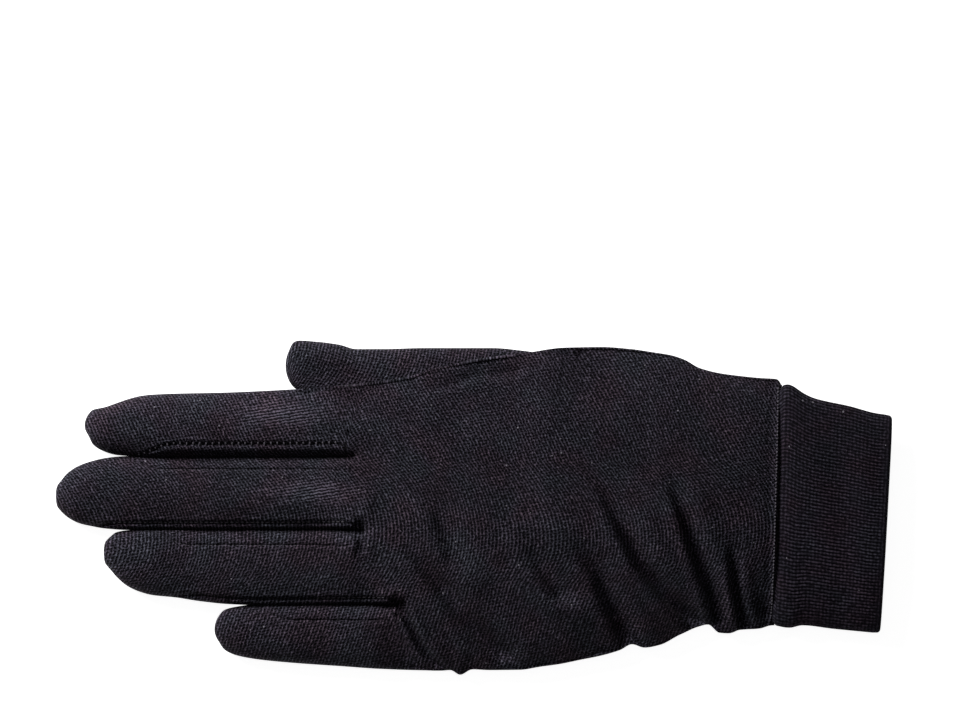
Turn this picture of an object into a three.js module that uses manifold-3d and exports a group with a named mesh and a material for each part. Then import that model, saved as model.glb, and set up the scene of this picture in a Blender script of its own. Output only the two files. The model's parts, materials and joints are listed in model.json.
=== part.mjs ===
// A thin knitted glove liner for the left hand, lying palm down on a flat surface.
// Millimetres. The fingers point along -X, the cuff along +X, the thumb side is +Y and +Z is up.
// While it is modelled, x = 0 is the seam between hand and cuff, y = 0 is the line between the middle
// and the ring finger and z = 0 is the surface. The finished group is moved so that its origin is the
// bottom centre of the whole liner.
import * as THREE from 'three';
import { mergeVertices } from 'three/addons/utils/BufferGeometryUtils.js';
import Module from 'manifold-3d';

const wasm = await Module();
wasm.setup();

// Driving dimensions, each of which can be set by itself.
const palmLength = 123.7; // cuff seam to the crotches beside the middle finger
const palmHeight = 13; // highest part of the back of the hand as it lies
const littleSetBack = 12.6; // the little finger starts this much nearer to the wrist
const knitWall = 1; // one layer of the plain knit

const indexLength = 79.3; // knuckle line to fingertip
const middleLength = 87.8;
const ringLength = 73.7;
const littleLength = 53.7;
const indexWidth = 21; // each finger laid flat, at its base
const middleWidth = 21.3;
const ringWidth = 22;
const littleWidth = 19.2;
const fingerHeight = 9; // a finger's thickness as it lies
const littleHeight = 8;
const indexLift = 2.6; // the index finger's base rides up on the thumb
const fingerGap = 0.8; // clear space between neighbouring fingers

const thumbLength = 83; // from the thumb's seam in the palm to its tip
const thumbWidth = 20;
const thumbHeight = 7.5;

const cuffLength = 33;
const cuffWidth = 70.5; // at the seam
const cuffOpening = 63.5; // at the free edge
const cuffHeight = 10;
const cuffSlant = 3.5; // the free edge is this much longer on the thumb side
const ribWall = 2; // the rib is folded, so it has two layers

const seamInset = 3.6; // a finger seam's distance from the side of its finger
const seamGap = 0.3; // clear space between sewn pieces

// Sizes that follow from the ones above.
const palmWidth = indexWidth + middleWidth + ringWidth + littleWidth;
const indexCentre = middleWidth + indexWidth / 2;
const middleCentre = middleWidth / 2;
const ringCentre = -ringWidth / 2;
const littleCentre = -ringWidth - littleWidth / 2;

// The fingers, in order from the thumb side. taper is the width near the tip as a share of the base's,
// lean the sideways drift on the way there and tipLean that of the round end, as shares of the width.
// setBack is how much nearer to the wrist the finger starts, and nextSetBack the same for the crotch on
// its little finger's side.
const fingers = [
  {
    name: 'index', length: indexLength, width: indexWidth, height: fingerHeight, lift: indexLift,
    centre: indexCentre, taper: 0.88, lean: -0.06, tipLean: -0.07, setBack: 0, nextSetBack: 0,
  },
  {
    name: 'middle', length: middleLength, width: middleWidth, height: fingerHeight, lift: 0,
    centre: middleCentre, taper: 0.97, lean: -0.02, tipLean: -0.01, setBack: 0, nextSetBack: 0,
  },
  {
    name: 'ring', length: ringLength, width: ringWidth, height: fingerHeight, lift: 0,
    centre: ringCentre, taper: 0.87, lean: 0.06, tipLean: 0.1, setBack: 0, nextSetBack: littleSetBack,
  },
  {
    name: 'little', length: littleLength, width: littleWidth, height: littleHeight, lift: 0,
    centre: littleCentre, taper: 0.84, lean: 0.075, tipLean: 0.03,
    setBack: littleSetBack, nextSetBack: littleSetBack,
  },
];

// The hand from the cuff seam (along 0) to the knuckle line (along 1). thumbSide and littleSide are the
// two edges as shares of the palm width, height and edgeLift shares of the palm height.
const handRows = [
  { along: 0, thumbSide: 0.515, littleSide: -0.332, height: 0.78, edgeLift: 0 },
  { along: 0.08, thumbSide: 0.539, littleSide: -0.348, height: 0.86, edgeLift: 0 },
  { along: 0.18, thumbSide: 0.563, littleSide: -0.342, height: 0.94, edgeLift: 0 },
  { along: 0.23, thumbSide: 0.603, littleSide: -0.37, height: 0.97, edgeLift: 0 },
  { along: 0.3, thumbSide: 0.625, littleSide: -0.408, height: 1, edgeLift: 0.05 },
  { along: 0.41, thumbSide: 0.641, littleSide: -0.44, height: 1, edgeLift: 0.15 },
  { along: 0.5, thumbSide: 0.64, littleSide: -0.471, height: 0.98, edgeLift: 0.34 },
  { along: 0.6, thumbSide: 0.619, littleSide: -0.489, height: 0.93, edgeLift: 0.42 },
  { along: 0.7, thumbSide: 0.601, littleSide: -0.495, height: 0.88, edgeLift: 0.42 },
  { along: 0.82, thumbSide: 0.562, littleSide: -0.499, height: 0.84, edgeLift: 0.38 },
  { along: 0.92, thumbSide: 0.518, littleSide: -0.495, height: 0.8, edgeLift: 0.32 },
  { along: 1, thumbSide: 0.5, littleSide: -0.49, height: 0.72, edgeLift: 0.22 },
];

// Places where a fold runs out over the little finger's edge and pushes the outline out.
const puckers = [
  { along: 0.117, out: 0.021, spread: 0.024 },
  { along: 0.28, out: 0.022, spread: 0.035 },
  { along: 0.75, out: 0.014, spread: 0.022 },
];

// Valleys in the back of the hand. Each runs straight between two points, given as shares of the palm
// length (along) and of the palm width (across). depth and spread are shares of the palm height.
const folds = [
  { along: 0.42, across: 0.18, toAlong: 0.38, toAcross: 0.07, depth: 0.15, spread: 0.3 },
  { along: 0.375, across: 0.02, toAlong: 0.2, toAcross: -0.33, depth: 0.42, spread: 0.26 },
  { along: 0.24, across: 0.15, toAlong: 0.15, toAcross: -0.24, depth: 0.4, spread: 0.25 },
  { along: 0.11, across: 0.07, toAlong: 0.07, toAcross: -0.11, depth: 0.18, spread: 0.2 },
  { along: 0.12, across: -0.1, toAlong: 0.085, toAcross: -0.36, depth: 0.42, spread: 0.22 },
  { along: 0.42, across: -0.12, toAlong: 0.36, toAcross: -0.42, depth: 0.24, spread: 0.3 },
  { along: 0.61, across: 0.03, toAlong: 0.5, toAcross: -0.28, depth: 0.12, spread: 0.36 },
  { along: 0.88, across: 0.16, toAlong: 0.72, toAcross: -0.3, depth: 0.12, spread: 0.36 },
  { along: 0.93, across: 0, toAlong: 0.68, toAcross: -0.42, depth: 0.16, spread: 0.36 },
  { along: 0.9, across: -0.27, toAlong: 0.83, toAcross: -0.47, depth: 0.28, spread: 0.22 },
];

// The thumb from its seam (along 0) to its tip (along 1). centre is a share of the palm width.
const thumbRows = [
  { along: 0, centre: 0.515, width: 1, height: 1 },
  { along: 0.3, centre: 0.508, width: 1, height: 1 },
  { along: 0.6, centre: 0.508, width: 1, height: 1 },
  { along: 0.78, centre: 0.515, width: 0.96, height: 0.98 },
  { along: 0.9, centre: 0.545, width: 0.78, height: 0.92 },
  { along: 1, centre: 0.575, width: 0.66, height: 0.86 },
];
const thumbRoot = 0.485 * palmLength; // the thumb's seam is this far from the cuff seam

// The cuff from the seam (along 0) to the free edge (along 1). taper is how much of its narrowing has
// happened by then, and height a share of the cuff height.
const cuffRows = [
  { along: 0, taper: 0, height: 0.92 },
  { along: 0.2, taper: 0.3, height: 0.98 },
  { along: 0.5, taper: 0.72, height: 1 },
  { along: 0.8, taper: 0.92, height: 1 },
  { along: 1, taper: 1, height: 0.96 },
];

// The cuff's little finger side at the seam and its drift from there to the free edge, as shares of the
// palm width.
const cuffSide = -0.34;
const cuffDrift = -0.02;

// Smoothness of the lofts: steps round a section, over the top and underneath, and sections along a
// piece. The folded wrist has closer sections than the rest of the hand.
const fingerTopSteps = 8;
const fingerUnderSteps = 6;
const handTopSteps = 22;
const handUnderSteps = 10;
const thumbTopSteps = 9;
const thumbUnderSteps = 7;
const cuffTopSteps = 13;
const cuffUnderSteps = 10;
const foldedShare = 0.46;
const foldedSections = 16;
const knuckleSections = 10;
const stripSteps = 12;
const partingRows = 40;
const partingColumns = 30;

// Shape of a flattened tube's section.
const beltShare = 0.38; // height of its widest line, as a share of its height
const domeBend = 2.4; // larger is flatter on top
const underBend = 1.7; // larger turns in to the flat underside more quickly
const fingerTipShare = 0.62; // length of a fingertip's round end, as a share of the finger's width
const thumbTipShare = 0.36;
const foldRoom = 0.62; // the folds use at most this share of the height under them

function smoothstep(from, to, value) {
  const t = Math.min(1, Math.max(0, (value - from) / (to - from)));
  return t * t * (3 - 2 * t);
}

// A smooth function through one column of a table, with tangents from the neighbouring rows.
function columnCurve(rows, key) {
  const slopeAt = rows.map((row, i) => {
    const before = rows[Math.max(0, i - 1)];
    const after = rows[Math.min(rows.length - 1, i + 1)];
    return (after[key] - before[key]) / (after.along - before.along);
  });
  return (along) => {
    let i = 0;
    while (i < rows.length - 2 && along > rows[i + 1].along) {
      i += 1;
    }
    const step = rows[i + 1].along - rows[i].along;
    const t = (along - rows[i].along) / step;
    const t2 = t * t;
    const t3 = t2 * t;
    return (2 * t3 - 3 * t2 + 1) * rows[i][key]
      + (t3 - 2 * t2 + t) * step * slopeAt[i]
      + (3 * t2 - 2 * t3) * rows[i + 1][key]
      + (t3 - t2) * step * slopeAt[i + 1];
  };
}

// Sideways places round a section, from +1 (thumb side) over the top to -1 and back underneath.
// The steps are closer together near the two sides, where the cloth turns.
function roundSteps(topSteps, underSteps) {
  const place = (t) => 0.45 * (1 - 2 * t) + 0.55 * Math.cos(Math.PI * t);
  const steps = [];
  for (let i = 0; i < topSteps; i += 1) {
    steps.push({ side: place(i / topSteps), top: true });
  }
  for (let i = 0; i < underSteps; i += 1) {
    steps.push({ side: -place(i / underSteps), top: false });
  }
  return steps;
}

// How far a flattened tube has risen from its side line at a sideways place: 0 at the sides, 1 inside.
function rise(side) {
  return Math.sqrt(Math.max(0, 1 - Math.abs(side) ** domeBend));
}

// One section of a flattened cloth tube at a given x. The top is a low dome, and the underside turns in
// quickly and then lies flat. inset moves the whole section inwards, for the inner face of the cloth.
function sectionRing(steps, { x, centre, width, height, lift = 0, inset = 0, sink, raise, shiftX }) {
  const half = width / 2 - inset;
  const belt = height * beltShare;
  return steps.map(({ side, top }) => {
    const y = centre + half * side;
    const up = rise(side);
    const dome = top
      ? belt + (height - belt - inset) * up
      : belt - (belt - inset) * Math.min(1, underBend * up);
    const dent = top && sink ? sink(x, y, height - belt) * up : 0;
    const edge = raise ? raise(side) : 0;
    return new THREE.Vector3(x + (shiftX ? shiftX(y) : 0), y, dome - dent + lift + edge);
  });
}

// Triangles that close a ring from side to side, by walking its top and its underside together.
function zipCap(ring, start, facesForward) {
  const count = ring.length;
  const turn = ring.reduce((lowest, v, i) => (v.y < ring[lowest].y ? i : lowest), 0);
  const faces = [];
  let top = 0;
  let under = count; // the ring's first point again
  while (top < turn || under > turn) {
    const nextTop = top < turn ? ring[top + 1].y : -Infinity;
    const nextUnder = under > turn ? ring[under - 1].y : -Infinity;
    const next = nextTop >= nextUnder ? top + 1 : under - 1;
    if (new Set([top % count, under % count, next % count]).size === 3) {
      const face = [top % count, under % count, next % count].map((i) => start + i);
      faces.push(facesForward ? face : face.reverse());
    }
    if (nextTop >= nextUnder) {
      top += 1;
    } else {
      under -= 1;
    }
  }
  return faces;
}

// A closed solid through rings that follow each other along -X.
function loftSolid(rings) {
  const count = rings[0].length;
  const faces = [];
  for (let r = 0; r < rings.length - 1; r += 1) {
    for (let i = 0; i < count; i += 1) {
      const a = r * count + i;
      const b = r * count + ((i + 1) % count);
      faces.push([a, b + count, b], [a, a + count, b + count]);
    }
  }
  faces.push(...zipCap(rings[0], 0, false));
  faces.push(...zipCap(rings[rings.length - 1], (rings.length - 1) * count, true));
  const geometry = new THREE.BufferGeometry();
  const corners = rings.flat().flatMap((v) => v.toArray());
  geometry.setAttribute('position', new THREE.Float32BufferAttribute(corners, 3));
  geometry.setIndex(faces.flat());
  return solidOf(geometry);
}

// A three.js geometry as a solid that can be joined and cut.
function solidOf(geometry) {
  geometry.deleteAttribute('normal');
  geometry.deleteAttribute('uv');
  const merged = mergeVertices(geometry, 1e-5);
  const solid = new wasm.Manifold(new wasm.Mesh({
    numProp: 3,
    vertProperties: new Float32Array(merged.attributes.position.array),
    triVerts: new Uint32Array(merged.index.array),
  }));
  return solid;
}

function joinAll(solids) {
  return solids.reduce((whole, piece) => whole.add(piece));
}

// A flat outline in plan, carried straight up through the whole liner.
function planPrism(points) {
  const depth = 4 * palmHeight;
  const shape = new THREE.Shape(points.map(([x, y]) => new THREE.Vector2(x, y)));
  const geometry = new THREE.ExtrudeGeometry(shape, { depth, bevelEnabled: false });
  geometry.translate(0, 0, -palmHeight);
  return solidOf(geometry);
}

// Where the folds press the back of the hand down, limited to a share of the room under it.
function foldDepth(x, y, room) {
  const total = folds.reduce((sum, fold) => {
    const from = new THREE.Vector2(-fold.along * palmLength, fold.across * palmWidth);
    const to = new THREE.Vector2(-fold.toAlong * palmLength, fold.toAcross * palmWidth);
    const run = to.clone().sub(from);
    const here = new THREE.Vector2(x, y).sub(from);
    const t = Math.min(1, Math.max(0, here.dot(run) / run.lengthSq()));
    const away = here.sub(run.multiplyScalar(t)).length();
    const swell = 0.35 + 0.65 * smoothstep(0, 0.3, t);
    return sum + fold.depth * palmHeight * swell * Math.exp(-((away / (fold.spread * palmHeight)) ** 2));
  }, 0);
  const limit = foldRoom * room;
  return limit * (1 - Math.exp(-total / limit));
}

// The hand, as the space inside one face of its cloth.
function handSolid(inset) {
  const thumbSide = columnCurve(handRows, 'thumbSide');
  const littleSide = columnCurve(handRows, 'littleSide');
  const heightAt = columnCurve(handRows, 'height');
  const edgeLift = columnCurve(handRows, 'edgeLift');
  const steps = roundSteps(handTopSteps, handUnderSteps);
  const stations = [];
  for (let i = 0; i < foldedSections; i += 1) {
    stations.push(foldedShare * i / foldedSections);
  }
  for (let i = 0; i <= knuckleSections; i += 1) {
    stations.push(foldedShare + (1 - foldedShare) * i / knuckleSections);
  }
  const lengthInside = inset > 0 ? palmLength - inset : palmLength;
  const rings = stations.map((along) => {
    const pucker = puckers.reduce(
      (sum, row) => sum + row.out * Math.exp(-(((along - row.along) / row.spread) ** 2)), 0);
    const thumbY = thumbSide(along) * palmWidth;
    const littleY = (littleSide(along) - pucker) * palmWidth;
    return sectionRing(steps, {
      x: -along * lengthInside,
      centre: (thumbY + littleY) / 2,
      width: thumbY - littleY,
      height: heightAt(along) * palmHeight,
      inset,
      sink: foldDepth,
      raise: (side) => Math.max(0, edgeLift(along)) * palmHeight * smoothstep(0.3, 1, side),
      shiftX: (y) => littleSetBack * along ** 4 * smoothstep(ringCentre, -ringWidth, y),
    });
  });
  if (inset > 0) { // the hollow is open towards the cuff
    rings.unshift(rings[0].map((v) => new THREE.Vector3(v.x + knitWall, v.y, v.z)));
  }
  return loftSolid(rings);
}

// One finger's plan at a share of its length: its sides and how thick it is there.
function fingerAt(finger, along) {
  const narrowing = 1 - (1 - finger.taper) * smoothstep(0, 0.6, along);
  const tipStart = 1 - fingerTipShare * finger.width / finger.length;
  const intoTip = Math.max(0, (along - tipStart) / (1 - tipStart));
  const tip = Math.sqrt(Math.max(0, 1 - intoTip ** 2));
  const rootSink = 0.35 * smoothstep(0, 8, -along * finger.length - finger.nextSetBack + finger.setBack);
  return {
    x: finger.setBack - palmLength - along * finger.length,
    centre: finger.centre + finger.width
      * (finger.lean * smoothstep(0, 0.6, along) + finger.tipLean * smoothstep(tipStart - 0.06, 1, along)),
    width: (finger.width - fingerGap) * narrowing * tip,
    height: finger.height * (0.45 + 0.55 * Math.sqrt(tip)) * (1 - rootSink),
    lift: finger.lift * (1 - smoothstep(0, 0.45, along)) * (1 - rootSink),
  };
}

// A finger as the space inside one face of its cloth. It starts inside the hand, past both its crotches.
function fingerSolid(finger, inset) {
  const steps = roundSteps(fingerTopSteps, fingerUnderSteps);
  const tipStart = 1 - fingerTipShare * finger.width / finger.length;
  const crotchStep = finger.nextSetBack - finger.setBack;
  const root = -(crotchStep + knitWall + (inset > 0 ? 7 : 4)) / finger.length;
  const stations = [root, 0.04, 0.3, 0.6, tipStart];
  for (const turn of [0.25, 0.48, 0.7, 0.88]) {
    stations.push(tipStart + (1 - tipStart) * Math.sin(turn * Math.PI / 2));
  }
  const rings = stations.map((along) => {
    const place = fingerAt(finger, along);
    const x = along > 0 ? place.x + inset * smoothstep(tipStart, 1, along) : place.x;
    return sectionRing(steps, { ...place, x, inset });
  });
  return loftSolid(rings);
}

// The thumb as the space inside one face of its cloth, grown outwards when inset is negative.
function thumbSolid(inset, rootExtra) {
  const centreAt = columnCurve(thumbRows, 'centre');
  const widthAt = columnCurve(thumbRows, 'width');
  const heightAt = columnCurve(thumbRows, 'height');
  const steps = roundSteps(thumbTopSteps, thumbUnderSteps);
  const tipStart = 1 - thumbTipShare * thumbWidth / thumbLength;
  const stations = [0, 0.2, 0.4, 0.6, 0.78, tipStart];
  for (const turn of [0.3, 0.55, 0.75, 0.9]) {
    stations.push(tipStart + (1 - tipStart) * Math.sin(turn * Math.PI / 2));
  }
  const rings = stations.map((along) => {
    const tip = Math.sqrt(1 - Math.max(0, (along - tipStart) / (1 - tipStart)) ** 2);
    return sectionRing(steps, {
      x: -thumbRoot - along * thumbLength + inset * smoothstep(tipStart, 1, along),
      centre: centreAt(along) * palmWidth,
      width: widthAt(along) * thumbWidth * tip,
      height: heightAt(along) * thumbHeight * (0.4 + 0.6 * Math.sqrt(tip)),
      inset,
    });
  });
  rings.unshift(rings[0].map((v) => new THREE.Vector3(v.x + rootExtra, v.y, v.z)));
  return loftSolid(rings);
}

// The height at which the back and the palm are sewn together: the widest line of the hand and of each
// finger, and over the thumb the middle of the hollow that is left above it.
function partingHeight(x, y) {
  const along = Math.min(1, Math.max(0, -x / palmLength));
  const thumbY = columnCurve(handRows, 'thumbSide')(along) * palmWidth;
  const littleY = columnCurve(handRows, 'littleSide')(along) * palmWidth;
  const side = (2 * y - thumbY - littleY) / (thumbY - littleY);
  const edge = Math.max(0, columnCurve(handRows, 'edgeLift')(along)) * smoothstep(0.3, 1, side);
  const onHand = (beltShare * columnCurve(handRows, 'height')(along) + edge) * palmHeight;
  const finger = fingers.find((row) => y > row.centre - row.width / 2) ?? fingers[fingers.length - 1];
  const start = finger.setBack - palmLength;
  const place = fingerAt(finger, Math.min(0.96, Math.max(0, (start - x) / finger.length)));
  const onFinger = beltShare * place.height + place.lift;
  const belt = onFinger + (onHand - onFinger) * smoothstep(start - 4, start + 4, x);
  const beside = smoothstep(indexCentre - indexWidth / 2, indexCentre, y);
  const besideTip = smoothstep(-thumbRoot - thumbLength - 4, -thumbRoot - thumbLength - 1, x);
  const besideRoot = 1 - smoothstep(2, 6, x + thumbRoot);
  const overThumb = thumbHeight + seamGap + 1.4 * knitWall;
  return belt + Math.max(0, overThumb - belt) * beside * besideTip * besideRoot;
}

// Everything above or everything below the line between back and palm, less half of the seam's gap.
function partingBlock(above) {
  const fromY = indexCentre + 1.6 * thumbWidth;
  const toY = littleCentre - littleWidth;
  const farX = -palmLength - Math.max(...fingers.map((finger) => finger.length - finger.setBack)) - 2;
  const nearX = 2;
  const flat = above ? 4 * palmHeight : -palmHeight;
  const rings = [];
  for (let r = 0; r <= partingRows; r += 1) {
    const x = nearX + (farX - nearX) * r / partingRows;
    const top = [];
    const under = [];
    for (let c = 0; c <= partingColumns; c += 1) {
      const y = fromY + (toY - fromY) * c / partingColumns;
      const z = partingHeight(x, y) + (above ? seamGap : -seamGap) / 2;
      top.push(new THREE.Vector3(x, y, above ? flat : z));
      under.unshift(new THREE.Vector3(x, y, above ? z : flat));
    }
    rings.push([...top, ...under]);
  }
  return loftSolid(rings);
}

// The strip along one side of a finger that is cut as a separate piece, seen in plan.
// towards is +1 for the thumb side of the finger and -1 for the little finger's side.
function sideStrip(finger, towards, crotchX, grow) {
  const web = knitWall + 0.8; // the strip goes this far into the crotch
  const leastInset = 1.8 * knitWall;
  const first = (finger.setBack - palmLength - crotchX) / finger.length;
  const last = 1 - 0.3 * finger.width / finger.length + grow / finger.length;
  const seam = [];
  const side = [];
  for (let i = 0; i <= stripSteps; i += 1) {
    const share = i / stripSteps;
    const place = fingerAt(finger, first + (last - first) * share);
    const fade = smoothstep(0, 0.08, share) * (1 - smoothstep(0.8, 1, share));
    const inset = leastInset + (seamInset - leastInset) * fade + grow;
    const edge = place.centre + towards * place.width / 2;
    seam.push([place.x, edge - towards * inset]);
    side.push([place.x, edge + towards * (fingerGap / 2 + 0.05)]);
  }
  const backX = crotchX + web + grow;
  const points = [[backX, seam[0][1]], ...seam, ...side.reverse(), [backX, side[stripSteps][1]]];
  return planPrism(towards > 0 ? points : points.reverse());
}

// The two side strips that meet at a crotch, as one block.
function fourchetteBlock(upper, lower, grow) {
  const crotchX = upper.nextSetBack - palmLength;
  return sideStrip(upper, -1, crotchX, grow).add(sideStrip(lower, 1, crotchX, grow));
}

// The tube of the cuff as the space inside one of its faces.
function cuffSolid(inset) {
  const taperAt = columnCurve(cuffRows, 'taper');
  const heightAt = columnCurve(cuffRows, 'height');
  const steps = roundSteps(cuffTopSteps, cuffUnderSteps);
  const rings = [0, 0.15, 0.35, 0.6, 0.85, 1].map((along) => {
    const taper = taperAt(along);
    const width = cuffWidth + (cuffOpening - cuffWidth) * taper;
    const centre = (cuffSide + cuffDrift * along) * palmWidth + width / 2;
    return sectionRing(steps, {
      x: seamGap + along * (cuffLength - seamGap - cuffSlant / 2),
      centre,
      width,
      height: heightAt(along) * cuffHeight,
      inset,
      shiftX: (y) => along * cuffSlant * (y - centre) / width,
    });
  });
  if (inset > 0) { // the tube is open at both ends
    rings.unshift(rings[0].map((v) => new THREE.Vector3(v.x - ribWall, v.y, v.z)));
    rings.push(rings[rings.length - 1].map((v) => new THREE.Vector3(v.x + ribWall, v.y, v.z)));
  }
  return loftSolid(rings.reverse());
}

// The knitted tube of the hand with its four fingers, before the pieces are cut out of it.
const outside = joinAll([handSolid(0), ...fingers.map((finger) => fingerSolid(finger, 0))]);
const inside = joinAll([handSolid(knitWall), ...fingers.map((finger) => fingerSolid(finger, knitWall))]);
const thumbBed = thumbSolid(-seamGap, 0);
const thumbBedWall = thumbSolid(-seamGap - knitWall, knitWall);
const thumbHollow = thumbSolid(knitWall, 2 * knitWall);
const handTube = outside
  .subtract(thumbBed)
  .subtract(inside.subtract(thumbBedWall))
  .subtract(thumbHollow);

const pairs = [0, 1, 2].map((i) => [fingers[i], fingers[i + 1]]);
const fourchettes = pairs.map(([upper, lower]) => handTube.intersect(fourchetteBlock(upper, lower, 0)));
const handShell = pairs.reduce(
  (shell, [upper, lower]) => shell.subtract(fourchetteBlock(upper, lower, seamGap)), handTube);
const handBack = handShell.intersect(partingBlock(true));
const handPalm = handShell.intersect(partingBlock(false));
const thumbSleeve = thumbSolid(0, 0).subtract(thumbHollow);
const ribCuff = cuffSolid(0).subtract(cuffSolid(ribWall));

function geometryOf(solid) {
  const mesh = solid.getMesh();
  const geometry = new THREE.BufferGeometry();
  geometry.setAttribute('position', new THREE.BufferAttribute(new Float32Array(mesh.vertProperties), 3));
  geometry.setIndex(new THREE.BufferAttribute(new Uint32Array(mesh.triVerts), 1));
  geometry.computeVertexNormals();
  return geometry;
}

const plainKnit = new THREE.MeshStandardMaterial({ color: 0x1e1e22, roughness: 0.95, metalness: 0 });
const ribKnit = new THREE.MeshStandardMaterial({ color: 0x231f25, roughness: 0.95, metalness: 0 });

function addPiece(group, name, solid, material) {
  const mesh = new THREE.Mesh(geometryOf(solid), material);
  mesh.name = name;
  group.add(mesh);
}

const liner = new THREE.Group();
addPiece(liner, 'hand_back', handBack, plainKnit);
addPiece(liner, 'hand_palm', handPalm, plainKnit);
pairs.forEach(([upper, lower], i) => {
  addPiece(liner, `fourchette_${upper.name}_${lower.name}`, fourchettes[i], plainKnit);
});
addPiece(liner, 'thumb_sleeve', thumbSleeve, plainKnit);
addPiece(liner, 'rib_cuff', ribCuff, ribKnit);

const bounds = new THREE.Box3().setFromObject(liner);
const middle = bounds.getCenter(new THREE.Vector3());
liner.position.set(-middle.x, -middle.y, -bounds.min.z);

export default liner;
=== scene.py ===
# %% [markdown]
# A knitted glove liner, seen from straight above
#
# The liner is a thin black glove that lies palm down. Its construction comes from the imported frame. Here
# each frame node gets the finished cloth surface that stands for it: the back, the palm, three side
# strips between the fingers, the thumb and the ribbed cuff. Lengths in this file are millimetres until
# one function, put_in_place, turns them into metres in the frame.

# %% Load the frame
import json
import math

import bmesh
import bpy
import numpy as np
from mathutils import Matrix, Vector

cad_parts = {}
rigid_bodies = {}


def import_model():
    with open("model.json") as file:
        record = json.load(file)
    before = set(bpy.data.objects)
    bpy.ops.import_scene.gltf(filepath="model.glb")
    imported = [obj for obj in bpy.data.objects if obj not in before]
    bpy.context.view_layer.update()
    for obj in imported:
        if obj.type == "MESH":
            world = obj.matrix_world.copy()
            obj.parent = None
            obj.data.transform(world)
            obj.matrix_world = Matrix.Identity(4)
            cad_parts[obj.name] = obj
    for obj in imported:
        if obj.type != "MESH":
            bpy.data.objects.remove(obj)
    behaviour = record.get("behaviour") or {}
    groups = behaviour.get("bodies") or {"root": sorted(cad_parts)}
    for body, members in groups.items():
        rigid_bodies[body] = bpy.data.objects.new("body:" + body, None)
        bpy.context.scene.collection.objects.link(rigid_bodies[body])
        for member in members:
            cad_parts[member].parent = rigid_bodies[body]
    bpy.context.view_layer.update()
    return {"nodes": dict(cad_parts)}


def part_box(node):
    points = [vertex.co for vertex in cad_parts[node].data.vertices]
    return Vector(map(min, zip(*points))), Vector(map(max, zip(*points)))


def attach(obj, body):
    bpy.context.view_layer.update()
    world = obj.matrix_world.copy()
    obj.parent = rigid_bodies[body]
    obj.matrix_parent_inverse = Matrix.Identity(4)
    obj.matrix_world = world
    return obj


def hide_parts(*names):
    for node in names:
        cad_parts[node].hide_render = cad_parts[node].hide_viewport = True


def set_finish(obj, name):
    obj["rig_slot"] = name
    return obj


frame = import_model()
METRE = 1000.0  # millimetres in a metre
print("nodes:", sorted(frame["nodes"]))

# %% [markdown]
# Where zero is
#
# The liner is drawn round two lines: the seam between hand and cuff is x = 0, and the line between the
# middle and the ring finger is y = 0. Both are found again in the frame from two nodes' boxes, so that
# the cloth stays on its solids.

# %% Place of the drawing in the frame
SEAM_GAP = 0.3  # clear space between hand and cuff
THUMB_REACH = 53.6  # from y = 0 to the palm's widest place on the thumb side
origin_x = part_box("rib_cuff")[0].x * METRE - SEAM_GAP
origin_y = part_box("hand_palm")[1].y * METRE - THUMB_REACH


def put_in_place(points):
    """Points in the drawing's millimetres, moved by the origin and divided by 1000."""
    return (points + np.array([origin_x, origin_y, 0.0])) / METRE


print("origin of the drawing in the frame, mm:", round(origin_x, 2), round(origin_y, 2))

# %% [markdown]
# Smooth curves through short tables
#
# An outline can be traced with hundreds of points, or it can be a few measured ones with a curve through
# them. A cubic that never overshoots its points keeps the outline calm between them. Seams and folds
# need small ridges and valleys, and a sum of bell curves draws those.

# %% Curves


def smoothstep(start, end, value):
    """Zero before start, one after end, and 3t^2 - 2t^3 between them."""
    t = np.clip((value - start) / (end - start), 0.0, 1.0)
    return t * t * (3 - 2 * t)


def bells(rows, away):
    """Sum over (height, place, width) rows: height times e to the minus ((away - place) / width)^2."""
    return sum(height * np.exp(-(((away - place) / width) ** 2)) for height, place, width in rows)


def curve_through(rows):
    """Cubic pieces through (place, value) rows. Each row's slope is the harmonic mean of the slopes of
    the chords on its two sides, or zero where they differ in sign, so nothing overshoots."""
    place, value = np.array(rows, float).T
    chord = np.diff(value) / np.diff(place)
    both = chord[1:] * chord[:-1]
    total = chord[1:] + chord[:-1]
    inner = np.where(both > 0, 2 * both / np.where(both > 0, total, 1.0), 0.0)
    slope = np.concatenate([chord[:1], inner, chord[-1:]])

    def at(x):
        x = np.clip(x, place[0], place[-1])
        k = np.clip(np.searchsorted(place, x) - 1, 0, len(place) - 2)
        step = place[k + 1] - place[k]
        t = (x - place[k]) / step
        return (
            (2 * t**3 - 3 * t**2 + 1) * value[k]
            + (t**3 - 2 * t**2 + t) * step * slope[k]
            + (3 * t**2 - 2 * t**3) * value[k + 1]
            + (t**3 - t**2) * step * slope[k + 1]
        )

    return at


def side_curve(rows):
    """As curve_through, but on the square root of the distance from the first row. A round fingertip
    is then nearly straight, so a few rows describe it."""
    tip = rows[0][0]
    at = curve_through([(math.sqrt(x - tip), y) for x, y in rows])
    return lambda x: at(np.sqrt(np.maximum(x - tip, 0.0)))


print("half way up a smooth step:", float(smoothstep(0.0, 1.0, 0.5)))

# %% [markdown]
# The outline of the hand
#
# Every finger is a strip that starts at its tip and runs on through the hand to the cuff. Each strip has
# a thumb side and a little finger's side. Up to the crotch a side is the finger's own outline. From the
# crotch on it is a line inside the hand that two strips share, or the hand's outer edge. One outline for
# the whole hand would do for a flat picture, but strips give each finger a section of its own.

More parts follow.
